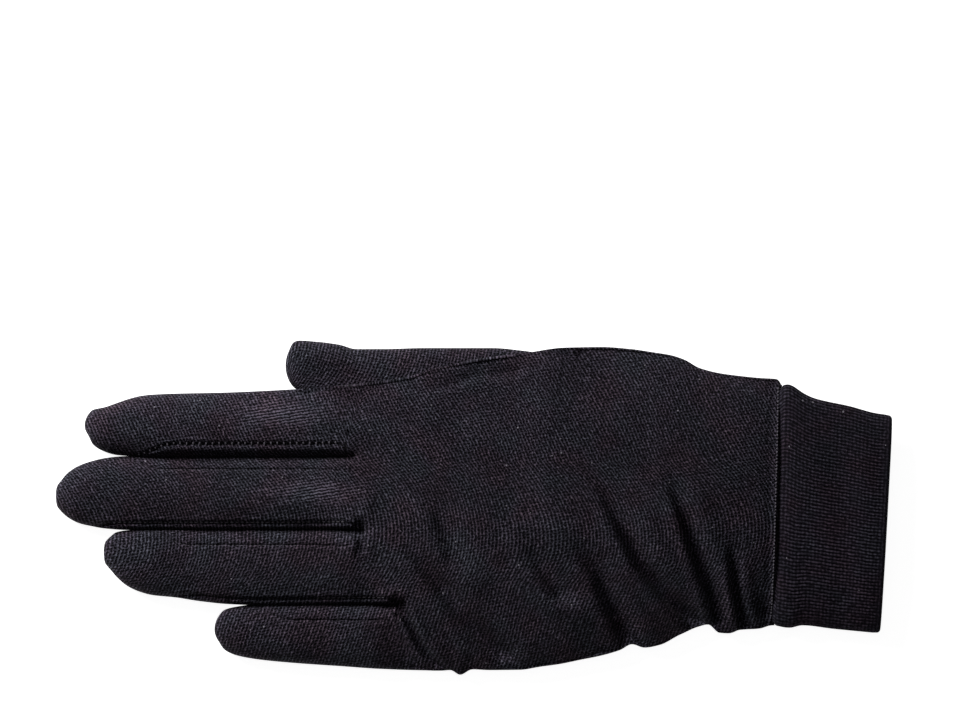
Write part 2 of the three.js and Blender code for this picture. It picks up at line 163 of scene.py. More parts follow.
# %% Outer edges and crotches
THUMB_EDGE = [
    (-125.5, 42.4), (-117.0, 43.3), (-107.0, 45.0), (-101.0, 47.0), (-94.0, 48.6), (-86.0, 50.2),
    (-73.5, 51.7), (-62.0, 53.3), (-50.8, 53.5), (-42.3, 52.9), (-36.1, 52.0), (-30.6, 51.1),
    (-26.4, 49.7), (-22.3, 47.4), (-16.2, 45.8), (-10.3, 45.0), (-4.4, 44.4), (0.4, 44.1),
    (1.3, 43.5), (1.9, 42.4),
]
LITTLE_EDGE = [
    (-104.3, -41.6), (-98.4, -41.7), (-95.4, -41.5), (-92.5, -42.9), (-88.9, -41.3), (-84.0, -41.5),
    (-74.9, -41.4), (-69.0, -40.5), (-63.2, -39.7), (-57.3, -38.5), (-51.4, -37.3), (-45.5, -35.6),
    (-42.0, -33.9), (-38.4, -34.9), (-33.8, -34.1), (-27.9, -31.1), (-22.3, -28.7), (-19.6, -28.1),
    (-16.4, -30.5), (-13.6, -30.7), (-10.3, -29.7), (-4.4, -29.3), (-1.2, -28.4), (1.4, -28.3),
]
CROTCHES = [(-125.5, 21.2), (-122.8, -0.1), (-111.1, -22.1)]  # index to middle, and so on
LINES_AT_CUFF = [25.0, 8.0, -10.0]  # where the shared lines meet the cuff
print("points on the two outer edges:", len(THUMB_EDGE) + len(LITTLE_EDGE))

# %% Sides of the four strips
# height is how high the finger lies, and tip where its two sides meet. strip_width is how wide the side
# strip shows at the thumb side and at the little finger's side, and strip_end how far from the fingertip
# it ends there. None is a plain edge.
strips = [
    {
        "name": "index", "height": 9.4, "tip": (-203.0, 30.3), "strip_end": (None, 13.0),
        "strip_width": (0.0, 4.0),
        "thumb_side": [
            (-203.0, 30.3), (-201.8, 33.8), (-200.6, 35.0), (-197.1, 35.8), (-193.6, 37.0),
            (-190.1, 38.2), (-186.5, 39.1), (-183.0, 39.5), (-176.0, 39.8), (-162.0, 40.1),
            (-141.0, 41.1), *THUMB_EDGE,
        ],
        "little_side": [
            (-203.0, 30.3), (-201.8, 27.3), (-200.6, 24.9), (-197.1, 22.7), (-193.6, 21.7),
            (-190.1, 21.4), (-183.0, 21.0), (-160.0, 21.0), (-135.0, 21.0), CROTCHES[0],
        ],
    },
    {
        "name": "middle", "height": 9.0, "tip": (-211.5, 10.0), "strip_end": (18.0, 7.0),
        "strip_width": (3.8, 2.1),
        "thumb_side": [
            (-211.5, 10.0), (-211.2, 12.3), (-210.0, 14.1), (-207.7, 16.7), (-204.2, 18.8),
            (-200.6, 20.0), (-197.1, 20.8), (-190.0, 21.4), (-135.0, 21.4), CROTCHES[0],
        ],
        "little_side": [
            (-211.5, 10.0), (-211.2, 7.0), (-210.0, 5.2), (-207.7, 3.2), (-204.2, 1.5),
            (-200.6, 0.7), (-197.1, 0.1), (-190.0, -0.35), (-150.0, -0.35), CROTCHES[1],
        ],
    },
    {
        "name": "ring", "height": 9.0, "tip": (-197.4, -7.1), "strip_end": (12.0, 16.0),
        "strip_width": (4.6, 1.9),
        "thumb_side": [
            (-197.4, -7.1), (-197.1, -4.4), (-195.4, -2.3), (-193.6, -1.0), (-190.1, -0.4),
            (-183.0, 0.0), (-150.0, 0.05), CROTCHES[1],
        ],
        "little_side": [
            (-197.4, -7.1), (-197.1, -9.7), (-195.4, -12.0), (-193.6, -14.1), (-190.1, -17.0),
            (-186.5, -18.6), (-183.0, -19.5), (-176.0, -20.2), (-169.0, -21.3), (-160.0, -22.2),
            (-150.0, -22.5), CROTCHES[2],
        ],
    },
    {
        "name": "little", "height": 8.2, "tip": (-164.8, -29.7), "strip_end": (9.0, None),
        "strip_width": (4.6, 0.0),
        "thumb_side": [
            (-164.8, -29.7), (-163.3, -25.3), (-161.9, -23.9), (-158.3, -22.9), (-152.2, -22.2),
            (-141.0, -22.0), CROTCHES[2],
        ],
        "little_side": [
            (-164.8, -29.7), (-163.4, -33.4), (-161.9, -35.5), (-158.4, -37.2), (-152.2, -38.4),
            (-141.0, -39.5), (-127.8, -40.4), (-116.0, -41.2), *LITTLE_EDGE,
        ],
    },
]
print("strips:", [strip["name"] for strip in strips])

# %% Lines inside the hand
PAST_SEAM = 1.1  # the shared lines run on past x = 0, because the cuff's seam leans
SEAM_SLANT = 0.031  # how much the cuff's seam moves along x for each millimetre across
SEAM_FROM = (0.3, -15.0)  # a point that the seam passes


def shared_side(rows, crotch):
    """A finger's side up to its crotch, and from there the straight line to the cuff that two strips
    share."""
    outline = side_curve(rows)
    (crotch_x, crotch_y), cuff_y = CROTCHES[crotch], LINES_AT_CUFF[crotch]

    def at(x):
        share = np.clip((x - crotch_x) / (0.0 - crotch_x), 0.0, PAST_SEAM)
        return np.where(x < crotch_x, outline(x), crotch_y + (cuff_y - crotch_y) * share)

    return at


def seam_line(y):
    """Place of the cuff's seam at y: a straight line, leaning a little."""
    return SEAM_SLANT * (y - SEAM_FROM[1]) + SEAM_FROM[0]


for i, strip in enumerate(strips):
    strip["hi"] = shared_side(strip["thumb_side"], i - 1) if i > 0 else side_curve(strip["thumb_side"])
    strip["lo"] = shared_side(strip["little_side"], i) if i < 3 else side_curve(strip["little_side"])
knuckle_line = curve_through(
    [(-41.5, -106.0), (-22.1, -111.1), (-0.1, -122.8), (21.2, -125.5), (42.4, -121.5)]
)
print("the seam's two ends along x:", round(seam_line(-28.3), 2), round(seam_line(44.1), 2))

# %% [markdown]
# How high the cloth lies
#
# An empty glove is flat in plan and soft in height. The height of the back could be sculpted by hand,
# but a formula keeps every fold where it was measured: a low dome between the two edges, less a valley
# for each fold, with a small rise on both sides of the valley where the cloth is pushed up.

# %% Heights of the edges and the crown
thumb_edge_height = curve_through([
    (-203.0, 3.2), (-170.0, 4.0), (-148.0, 4.6), (-139.0, 6.4), (-125.0, 7.8), (-105.0, 8.6),
    (-80.0, 8.8), (-64.0, 7.6), (-48.0, 5.6), (-25.0, 4.6), (1.4, 4.2),
])
little_edge_height = curve_through([(-165.0, 2.9), (-110.0, 3.6), (-60.0, 4.4), (1.4, 4.0)])
crown_height = curve_through([
    (-130.0, 10.2), (-105.0, 11.2), (-80.0, 12.4), (-55.0, 13.0), (-25.0, 12.4), (-8.0, 10.8), (1.4, 9.8),
])
thumb_edge = side_curve(strips[0]["thumb_side"])
little_edge = side_curve(strips[3]["little_side"])
print("crown over the wrist and over the knuckles:", float(crown_height(-25.0)), float(crown_height(-105.0)))

# %% Folds
# The points that each fold's valley passes, its depth, its half width and, where it doesn't start from
# nothing, the share of its depth at the start.
FOLDS = [
    {"points": [(-55.5, 18.0), (-49.4, 8.6), (-44.8, -0.3), (-38.8, -11.2), (-31.7, -20.0),
                (-24.0, -27.5)],
     "depth": 4.4, "width": 2.4},
    {"points": [(-33.5, 22.0), (-31.0, 14.5), (-28.4, 8.0), (-25.9, 0.0), (-22.7, -9.1), (-19.8, -17.0),
                (-17.3, -27.0)],
     "depth": 3.4, "width": 2.1},
    {"points": [(-13.8, -2.0), (-12.8, -10.0), (-12.4, -16.0), (-11.2, -22.0), (-9.8, -29.5)],
     "depth": 3.7, "width": 1.4},
    {"points": [(-60.0, -1.5), (-57.3, -6.0), (-52.3, -13.2), (-47.6, -24.0), (-43.5, -33.5)],
     "depth": 3.2, "width": 2.6},
    {"points": [(-76.9, 0.6), (-72.0, -6.0), (-67.0, -12.6), (-63.2, -18.5)], "depth": 2.6, "width": 3.2},
    {"points": [(-111.0, 18.0), (-107.2, 15.0), (-98.4, 5.6), (-94.6, -8.2)], "depth": 1.7, "width": 3.6},
    {"points": [(-116.5, 5.5), (-107.2, -4.1), (-97.5, -17.9), (-91.0, -26.7), (-80.8, -37.0)],
     "depth": 3.4, "width": 2.8, "start": 0.25},
    {"points": [(-112.4, -21.6), (-110.6, -23.0), (-108.7, -25.3), (-106.3, -30.2), (-104.3, -34.1),
                (-101.4, -38.0), (-99.0, -40.4)],
     "depth": 2.6, "width": 1.1, "start": 1.0},
    {"points": [(-7.6, -19.7), (-2.9, -25.0)], "depth": 1.3, "width": 1.6},
    {"points": [(-122.2, 2.0), (-121.8, -2.0), (-121.6, -5.6)], "depth": 1.3, "width": 1.0, "start": 1.0},
    {"points": [(-106.0, 40.0), (-95.0, 42.6), (-86.0, 45.6), (-76.4, 45.8)], "depth": 0.9, "width": 1.6},
]
PUSHED_UP = 0.28  # height of the rise beside a fold, as a share of the fold's depth
RISE_PLACE = 2.1  # distance of the rise from the valley, and its width, in widths of the fold
RISE_WIDTH = 1.1
FOLD_SWELL = 0.55  # share of its length over which a fold reaches its depth
CUFF_SIDE_WIDER = 0.3  # a fold is wider by this share on its cuff side, and narrower on the other


def distance_to(points, x, y):
    """Distance from (x, y) to the nearest place on a chain of straight stretches, how far along the
    chain that place is, from 0 to 1, and the side of the chain: 1 on its cuff side and -1 on the other."""
    corners = np.array(points, float)
    lengths = np.hypot(*np.diff(corners, axis=0).T)
    starts = np.concatenate([[0.0], np.cumsum(lengths)])
    best = np.full(np.shape(x), np.inf)
    along, side = np.zeros(np.shape(x)), np.ones(np.shape(x))
    for (ax, ay), (bx, by), length, start in zip(corners, corners[1:], lengths, starts):
        t = np.clip(((x - ax) * (bx - ax) + (y - ay) * (by - ay)) / length**2, 0.0, 1.0)
        away = np.hypot(x - ax - t * (bx - ax), y - ay - t * (by - ay))
        nearer = away < best
        best = np.where(nearer, away, best)
        along = np.where(nearer, (start + t * length) / starts[-1], along)
        cross = (bx - ax) * (y - ay) - (by - ay) * (x - ax)
        side = np.where(nearer, np.tanh(cross / length), side)
    return best, along, side


def fold_heights(x, y):
    """Sum over the folds: minus depth times a bell of the distance, plus a share of it times a wider
    bell that is centred beside the fold. Both grow along the fold from its faint end, and both are
    wider on the cuff's side, since the cloth is pushed against the cuff."""
    total = np.zeros(np.shape(x))
    for fold in FOLDS:
        away, along, side = distance_to(fold["points"], x, y)
        start = fold.get("start", 0.0)
        swell = start + (1 - start) * smoothstep(0.0, FOLD_SWELL, along)
        in_widths = away / (fold["width"] * (1 + CUFF_SIDE_WIDER * side))
        shape = bells([(-1.0, 0.0, 1.0), (PUSHED_UP, RISE_PLACE, RISE_WIDTH)], in_widths)
        total += fold["depth"] * swell * shape
    return total


print("folds:", len(FOLDS), "deepest, mm:", max(fold["depth"] for fold in FOLDS))

# %% Waves of the cloth
WAVES = np.random.default_rng(7).uniform(size=(14, 4))  # direction, length, phase and height of each
SHORTEST_WAVE = 13.0
LONGEST_WAVE = 46.0
WAVE_HEIGHT = 0.16
LEAST_SHARE = 0.4  # the lowest wave has this share of the height


def soft_waves(x, y):
    """A sum of plane waves with seeded directions, lengths and phases: cloth that isn't quite flat."""
    total = np.zeros(np.broadcast(x, y).shape)
    for turn, size, phase, share in WAVES:
        length = SHORTEST_WAVE + (LONGEST_WAVE - SHORTEST_WAVE) * size
        angle = math.pi * turn
        run = x * math.cos(angle) + y * math.sin(angle)
        total += WAVE_HEIGHT * (LEAST_SHARE + share) * np.sin(2 * math.pi * (run / length + phase))
    return total


print("wave at the middle of the palm, mm:", round(float(soft_waves(-60.0, 5.0)), 2))

# %% Back of the hand
HAND_FROM = -150.0  # the little finger's edge is followed from here on
DOME_FLAT = 2.3  # the dome's height is (1 - share^DOME_FLAT)^DOME_ROUND between the middle and an edge
DOME_ROUND = 0.7
EDGE_BAND = 0.16  # folds and waves grow to full height over this share of the half width
CROTCH_TOP = 5.2  # the back is drawn towards this height at a crotch
CROTCH_DRAWN = 0.6  # and goes this share of the way
LOWEST_TOP = 2.6


def across_share(x, y):
    """-1 at the little finger's edge of the hand, +1 at the thumb's edge."""
    hi, lo = thumb_edge(x), little_edge(np.maximum(x, HAND_FROM))
    return np.clip((2 * y - hi - lo) / (hi - lo), -1.0, 1.0)


def crotch_pinches(x, y, reach, width, spread):
    """For each crotch a bell along x times a bell across, the second one wider further into the hand."""
    for crotch_x, crotch_y in CROTCHES:
        into = np.maximum(x - crotch_x, 0.0)
        yield np.exp(-((into / reach) ** 2)) * np.exp(-(((y - crotch_y) / (width + spread * into)) ** 2))


def hand_top(x, y):
    """Height of the back: the two edges' heights, a dome between them, the folds, and a pinch that is
    deepest at each crotch and dies out into the hand."""
    share = across_share(x, y)
    edge = np.where(share > 0, thumb_edge_height(x), little_edge_height(x))
    dome = (1 - np.abs(share) ** DOME_FLAT) ** DOME_ROUND
    inside = smoothstep(0.0, EDGE_BAND, 1 - np.abs(share))
    height = edge + (crown_height(x) - edge) * dome
    height = height + (fold_heights(x, y) + soft_waves(x, y)) * (0.5 + 0.5 * inside)
    for pinch in crotch_pinches(x, y, reach=3.0, width=1.0, spread=0.4):
        height = height - CROTCH_DRAWN * (height - CROTCH_TOP) * pinch
    return np.maximum(height, LOWEST_TOP)


print("back over the middle of the palm, mm:", round(float(hand_top(np.array(-60.0), np.array(5.0))), 1))

# %% Palm
THUMB_TOP = 7.5  # height of the thumb as it lies
THUMB_CLEAR = 0.3  # between the thumb and the palm over it
LOWEST = 0.35  # the flat parts lie this far above the surface
TURN_UP = 5.5  # how close to its edge the palm turns up
UNDER_WAVES = 0.5  # share of the back's waves that the palm has
CROTCH_UNDER = 2.6  # the palm is drawn up to this height at a crotch
inner_thumb_line = curve_through([
    (-143.1, 46.0), (-142.0, 43.5), (-139.3, 41.0), (-134.0, 38.4), (-128.0, 36.4), (-123.0, 34.8),
    (-115.0, 33.4), (-103.0, 33.0), (-59.0, 33.0),
])


def over_thumb(x, y):
    """One where the thumb lies under the palm, zero elsewhere: a smooth step at the thumb's tip, at its
    root and at its inner side."""
    lengthways = smoothstep(-144.5, -140.0, x) * (1 - smoothstep(-59.0, -53.0, x))
    return lengthways * smoothstep(-5.0, 0.5, y - inner_thumb_line(x))


def hand_under(x, y):
    """Height of the palm: flat on the surface, turned up to the edges' heights at both sides, lifted
    over the thumb and pinched up at the crotches."""
    share = across_share(x, y)
    edge = np.where(share > 0, thumb_edge_height(x), little_edge_height(x))
    turned = 1 - np.tanh(TURN_UP * (1 - np.abs(share))) / np.tanh(TURN_UP)
    height = LOWEST + UNDER_WAVES * np.abs(soft_waves(y, x)) + (edge - LOWEST) * turned
    height = np.maximum(height, (THUMB_TOP + THUMB_CLEAR) * over_thumb(x, y))
    for pinch in crotch_pinches(x, y, reach=6.0, width=2.0, spread=0.3):
        height = height + (CROTCH_UNDER - height) * pinch
    return height


print("palm over the thumb, mm:", round(float(hand_under(np.array(-100.0), np.array(42.0))), 1))

# %% [markdown]
# One strip of cloth
#
# A finger laid flat has a section like a low loaf: it curves over the top, turns round at its sides and
# lies flat underneath. Beyond the knuckles the same strip is part of the hand, so its height fades from
# the finger's section to the hand's. A tube for each finger, joined to a palm, would be easier to make,
# but one grid from fingertip to cuff has no join across the knuckles to hide.

# %% Section of a finger
TIP_ROUND = 9.0  # length over which a fingertip comes down
TIP_EDGE = 3.0  # height of the widest line at a fingertip
SEAM_EDGE = 3.5  # and beside a seam
EDGE_CHANGE = 20.0  # length over which the first becomes the second
BASE_FROM, BASE_TO = -150.0, -125.0  # fingers rise a little between these places
INDEX_BASE_RISE = 1.0
OTHER_BASE_RISE = 0.3
FINGER_WAVES = 0.8  # share of the hand's waves that a finger has
LOAF = 0.85  # below 1, a section is fuller than an ellipse
FLATNESS = 2.2  # how flat a finger lies underneath
OVER_THUMB_RISE = 1.5  # the index finger's underside rises no more than this above its edge


def finger_edge(strip, x, lean):
    """Height of a finger's widest line, from its one side to the other as lean goes from -1 to 1."""
    i = strips.index(strip)
    near_tip = smoothstep(0.0, EDGE_CHANGE, np.clip(x - strip["tip"][0], 0.0, None))
    hi_edge = TIP_EDGE + ((thumb_edge_height(x) if i == 0 else SEAM_EDGE) - TIP_EDGE) * near_tip
    lo_edge = TIP_EDGE + ((little_edge_height(x) if i == 3 else SEAM_EDGE) - TIP_EDGE) * near_tip
    return lo_edge + (hi_edge - lo_edge) * (1 + lean) / 2


def finger_height(strip, x, lean, top):
    """Height of a finger's section at lean, the sine of the section's angle. Above, it rises from the
    edge with a power of the cosine; below, it drops to the surface with the hyperbolic tangent of the
    cosine. Both are scaled by a quarter circle at the tip."""
    i = strips.index(strip)
    away = np.clip(x - strip["tip"][0], 0.0, None)
    tip = np.sqrt(np.clip(1 - (1 - np.minimum(away, TIP_ROUND) / TIP_ROUND) ** 2, 0.0, 1.0))
    side = finger_edge(strip, x, lean)
    cosine = np.sqrt(np.clip(1 - lean**2, 0.0, 1.0))
    if top:
        base_rise = INDEX_BASE_RISE if i == 0 else OTHER_BASE_RISE
        full = strip["height"] + base_rise * smoothstep(BASE_FROM, BASE_TO, x)
        wave = soft_waves(x, strip["tip"][1] * 3 + 9 * lean) * FINGER_WAVES * smoothstep(2.0, 12.0, away)
        crown = side + (full + wave - side) * (0.25 + 0.75 * tip) * np.minimum(1.0, tip * 3)
        return side + (crown - side) * cosine**LOAF
    drop = np.tanh(FLATNESS * cosine * (0.2 + 0.8 * tip)) / math.tanh(FLATNESS)
    flat = side + (LOWEST - side) * drop
    if i == 0:
        y = (strip["hi"](x) + strip["lo"](x)) / 2 + (strip["hi"](x) - strip["lo"](x)) / 2 * lean
        flat = np.maximum(flat, (THUMB_TOP + THUMB_CLEAR) * over_thumb(x, y))
        flat = np.minimum(flat, side + OVER_THUMB_RISE)
    return flat


middle_crown = finger_height(strips[1], np.array(-160.0), np.array(0.0), True)
print("crown of the middle finger, mm:", round(float(middle_crown), 1))

# %% Seams
SEAM_END = 3.2  # a side strip's seam curves in over this length at its crotch
SEAM_TAPER = 14.0  # and leaves the finger's side over this length near the fingertip
THUMB_SIDE_SEAM = 0.5  # strength of the seams that face the thumb, which are pulled nearly flat
# Height, place and width of the bells beside a finger's seam: a sharp nick, and a slight rise where the
# turned-in cloth lies underneath. The cuff's seam turns down, with a narrow ridge and a shallow line.
FINGER_SEAM = [(-0.5, 0.0, 0.4), (0.26, 1.2, 0.7)]
CUFF_SEAM = [(-1.3, 0.0, 0.42), (0.5, 1.2, 0.6), (-0.25, 2.7, 0.5)]


def seam_inset(strip, towards_thumb, x):
    """How far in from the side the strip's cloth ends: nothing at a plain edge, the side strip's width
    at a seam, less by a quarter circle at the crotch and by a smooth step near the fingertip."""
    side = 0 if towards_thumb else 1
    end = strip["strip_end"][side]
    if end is None:
        return np.zeros(np.shape(x))
    crotch_x = CROTCHES[strips.index(strip) - 1 + side][0]
    out = np.clip((crotch_x - x) / SEAM_END, 0.0, 1.0)
    taper = smoothstep(end, end + SEAM_TAPER, x - strip["tip"][0])
    return strip["strip_width"][side] * np.sqrt(1 - (1 - out) ** 2) * taper


def seam_strength(towards_thumb, inset):
    """How strongly a seam shows, from nothing where the side strip ends."""
    return np.minimum(1.0, inset) * (THUMB_SIDE_SEAM if towards_thumb else 1.0)


print("depth of a finger's seam, mm:", round(-float(bells(FINGER_SEAM, 0.0)), 2))

# %% Rows of a strip
TOP_COLUMNS = 38
UNDER_COLUMNS = 14
FINGER_ROWS = 112
HAND_ROWS = 150
TIP_CROWDING = 0.2  # spacing of a finger's first rows against even rows
KNUCKLES = -115.0  # the outer edges are read here for the ends of the knuckle line
EVEN_ROWS_TO = 0.975  # rows are even up to this share of the hand, and closer at the cuff's seam
SEAM_ROWS = [0.982, 0.988, 0.992, 0.995, 0.998, 1.0]


def strip_rows(strip, turn):
    """x of every grid point of a strip. Rows lie closer together at the round tip, as the square root
    of the distance does, and they turn from the knuckle line to the cuff's seam through the hand."""
    i = strips.index(strip)
    ends = [strip["hi"](KNUCKLES), strip["lo"](KNUCKLES)]
    if i > 0:
        ends[0] = CROTCHES[i - 1][1]
    if i < 3:
        ends[1] = CROTCHES[i][1]
    base_y = ends[0] + (ends[1] - ends[0]) * (1 - turn) / 2
    base = knuckle_line(base_y)[None, :]
    s = (np.arange(FINGER_ROWS + 1) / FINGER_ROWS)[:, None]
    reach = s**2 / (s + TIP_CROWDING * (1 - s))
    tip_x = strip["tip"][0]
    finger = tip_x + (base - tip_x) * reach
    shares = np.concatenate([np.linspace(0, EVEN_ROWS_TO, HAND_ROWS)[1:], SEAM_ROWS])
    seam_y = strip["hi"](0.0) + (strip["lo"](0.0) - strip["hi"](0.0)) * (1 - turn) / 2
    hand = base + (seam_line(seam_y)[None, :] - base) * shares[:, None]
    return np.concatenate([finger, hand]), base


print("rows from fingertip to cuff:", FINGER_ROWS + HAND_ROWS + len(SEAM_ROWS))

# %% Grid of a strip
SEAM_PULL = 2  # the columns make room for a seam beside it more than in the finger's middle
SIDE_CROWDING = 0.55  # columns lie closer together at the two sides
EVEN_AFTER = 34.0  # length behind the knuckles over which the columns become even
INTO_HAND = 11.0  # length before the knuckles over which a finger becomes the hand


def strip_surface(strip, top):
    """Grid of points of a strip's upper or lower cloth. Columns are an angle that turns from the thumb
    side (+90 degrees) to the little finger's side (-90 degrees), cut short at a seam. y is the strip's
    middle plus half its width times the sine, and z rises with the cosine to the finger's height, or
    falls with it to the surface underneath."""
    i = strips.index(strip)
    columns = TOP_COLUMNS if top else UNDER_COLUMNS
    t = np.linspace(0.0, 1.0, columns + 1)[None, :]
    t = t + SIDE_CROWDING * (0.5 - 0.5 * np.cos(math.pi * t) - t)
    x, base = strip_rows(strip, np.cos(math.pi * t[0]))
    hi, lo = strip["hi"](x), strip["lo"](x)
    half, middle = np.maximum((hi - lo) / 2, 1e-6), (hi + lo) / 2
    from_hi = np.arcsin(np.clip(1 - seam_inset(strip, True, x) / half, 0.0, 1.0))
    from_lo = np.arcsin(np.clip(1 - seam_inset(strip, False, x) / half, 0.0, 1.0))
    lean = np.sin(
        math.pi / 2 * (1 - 2 * t)
        - (math.pi / 2 - from_hi) * (1 - t) ** SEAM_PULL
        + (math.pi / 2 - from_lo) * t**SEAM_PULL
    )
    even = 1 - 2 * t
    if i == 0:
        even = 1 - 2 * (1 - np.cos(t * math.pi / 2))
    if i == 3:
        even = 1 - 2 * np.sin(t * math.pi / 2)
    lean = lean + (even - lean) * smoothstep(0.0, EVEN_AFTER, x - base)
    y = middle + half * lean
    finger = finger_height(strip, x, lean, top)
    hand = hand_top(x, y) if top else hand_under(x, y)
    z = finger + (hand - finger) * smoothstep(-INTO_HAND, 0.0, x - base)
    if top:
        z = z + bells(CUFF_SEAM, seam_line(y) - x)
        for side, towards_thumb in ((hi, True), (lo, False)):
            inset = seam_inset(strip, towards_thumb, x)
            z = z + bells(FINGER_SEAM, np.abs(side - y) - inset) * seam_strength(towards_thumb, inset)
    return np.stack([x, y, z], axis=-1)


tops = [strip_surface(strip, True) for strip in strips]
unders = [strip_surface(strip, False) for strip in strips]
print("top grid of the index strip:", tops[0].shape)
print("its highest point, mm:", round(float(tops[0][..., 2].max()), 1))

# %% [markdown]
# From grids to meshes
#
# Each grid becomes a sheet of quads. Grids that share a border are put in one mesh and their doubled
# points are merged, which also closes the fingertips. The cloth's own coordinates, in millimetres along
# and across, are stored on the points, because the knit has to follow the cloth and not the room. A UV
# map could hold two of them; an attribute also has room for a third, how tight the cloth is drawn, which
# also sets where a highlight is painted on.

# %% Places on the cloth
CLOTH_CHANGE = 14.0  # length before the knuckles over which the hand's places become a finger's
# where the cloth is drawn tight at the fingers' bases; the jersey also paints a highlight there
STRETCH_AND_HIGHLIGHT_AT = [(-144.0, 33.5, 14.0, 4.0), (-134.0, 11.0, 12.0, 3.0)]  # x, y, and reach each way


def stretch_and_highlight(x, y):
    """Where the cloth is drawn tight along the fingers' bases its loops pull into lines, and the
    jersey paints a highlight there: a bell.
    """
    return sum(
        np.exp(-(((x - a) / along) ** 2) - ((y - b) / across) ** 2) for a, b, along, across in STRETCH_AND_HIGHLIGHT_AT
    )


def cloth_places(points, base, i):
    """Cloth coordinates of strip i: x along, and y plus the extra length that the slopes add across.
    On a finger the extra is summed from its middle column. In the hand it is summed from the border
    that the strip shares, and only in the two outer strips, so that neighbours agree."""
    step = np.diff(points[..., 1:3], axis=1)
    extra = np.hypot(step[..., 0], step[..., 1]) - np.abs(step[..., 0])
    total = np.concatenate([np.zeros_like(extra[:, :1]), np.cumsum(extra, axis=1)], axis=1)
    middle = total.shape[1] // 2
    on_finger = total - total[:, middle : middle + 1]
    in_hand = {0: total - total[:, -1:], 3: total}.get(i, 0 * total)
    finger = smoothstep(0.0, CLOTH_CHANGE, base - points[..., 0])
    across = points[..., 1] - (in_hand + (on_finger - in_hand) * finger)
    return np.stack([points[..., 0], across, stretch_and_highlight(points[..., 0], points[..., 1])], axis=-1)


def hand_cloth(grids):
    """Cloth places for the four strips. A strip's base row is where its finger meets the hand."""
    base_row = slice(FINGER_ROWS, FINGER_ROWS + 1)
    return [cloth_places(grid, grid[base_row, :, 0], i) for i, grid in enumerate(grids)]


back_places = hand_cloth(tops)
print("cloth across the index strip, mm:", round(float(np.ptp(back_places[0][FINGER_ROWS, :, 1])), 1))

# %% Mesh of several grids


def sheet_mesh(name, grids, places, faces_up=True, closed=False):
    """One mesh from (rows, columns, 3) grids in millimetres. Quads join each point to its neighbours,
    and closed joins a grid's last column to its first."""
    verts, uvs, quads, start = [], [], [], 0
    for grid, place in zip(grids, places):
        rows, columns = grid.shape[:2]
        index = start + np.arange(rows * columns).reshape(rows, columns)
        if closed:
            index = np.concatenate([index, index[:, :1]], axis=1)
        a, b, c, d = index[:-1, :-1], index[:-1, 1:], index[1:, 1:], index[1:, :-1]
        order = (a, b, c, d) if faces_up else (a, d, c, b)
        quads.append(np.stack(order, axis=-1).reshape(-1, 4))
        verts.append(grid.reshape(-1, 3))
        uvs.append(place.reshape(-1, 3))
        start += rows * columns
    verts, uvs, quads = np.concatenate(verts), np.concatenate(uvs), np.concatenate(quads)
    mesh = bpy.data.meshes.new(name)
    mesh.vertices.add(len(verts))
    mesh.vertices.foreach_set("co", put_in_place(verts).astype(np.float32).ravel())
    mesh.loops.add(quads.size)
    mesh.loops.foreach_set("vertex_index", quads.ravel().astype(np.int32))
    mesh.polygons.add(len(quads))
    mesh.polygons.foreach_set("loop_start", np.arange(0, quads.size, 4, dtype=np.int32))
    mesh.update(calc_edges=True)
    cloth = mesh.attributes.new("cloth", "FLOAT_VECTOR", "POINT")
    cloth.data.foreach_set("vector", uvs.astype(np.float32).ravel())
    return mesh


print("a sheet of", FINGER_ROWS, "by", TOP_COLUMNS, "quads has", FINGER_ROWS * TOP_COLUMNS, "faces")

# %% Pieces
SAME_POINT = 2e-6  # metres


def merge_doubles(mesh):
    """Points closer than SAME_POINT become one, which closes poles and shared borders."""
    work = bmesh.new()
    work.from_mesh(mesh)
    bmesh.ops.remove_doubles(work, verts=work.verts, dist=SAME_POINT)
    work.to_mesh(mesh)
    work.free()


def add_piece(mesh, nodes, slot, wall=None):
    """An object for a mesh, riding on the one body and standing for its nodes. wall is the cloth's
    thickness in millimetres, grown inwards."""
    merge_doubles(mesh)
    mesh.polygons.foreach_set("use_smooth", np.ones(len(mesh.polygons), bool))
    piece = bpy.data.objects.new(mesh.name, mesh)
    bpy.context.scene.collection.objects.link(piece)
    if wall:
        solidify = piece.modifiers.new("wall", "SOLIDIFY")
        solidify.thickness = wall / METRE
        solidify.offset = -1.0
        solidify.use_even_offset = False
    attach(piece, "root")
    if nodes:
        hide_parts(*nodes)
    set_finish(piece, slot)
    print(piece.name, "faces:", len(mesh.polygons))
    return piece


WALL = 0.9  # one layer of the plain knit
add_piece(sheet_mesh("back", tops, back_places), ["hand_back"], "plain_knit", WALL)
add_piece(
    sheet_mesh("palm", unders, hand_cloth(unders), faces_up=False), ["hand_palm"], "plain_knit", WALL
)

# %% [markdown]
# The side strips between the fingers
#
# A glove's fingers would be flat bags without the narrow strips sewn between them. One strip runs down
# the side of a finger, round the crotch and up the next. It could be a ribbon along a curve, but then it
# would have to be fitted to the seams. Here its edges are taken from the borders of the back and the
# palm, so that the three pieces meet exactly.

# %% Side strips
SIDE_COLUMNS = 20
SIDE_WALL = 0.7
BORDER_CROWDING = 0.8  # columns lie a little closer together at a strip's two borders
CROWNED = 0.13  # a strip that faces the little finger stands out by this share of its width
LEAST_WIDTH = 0.02  # a strip starts where it is wider than this


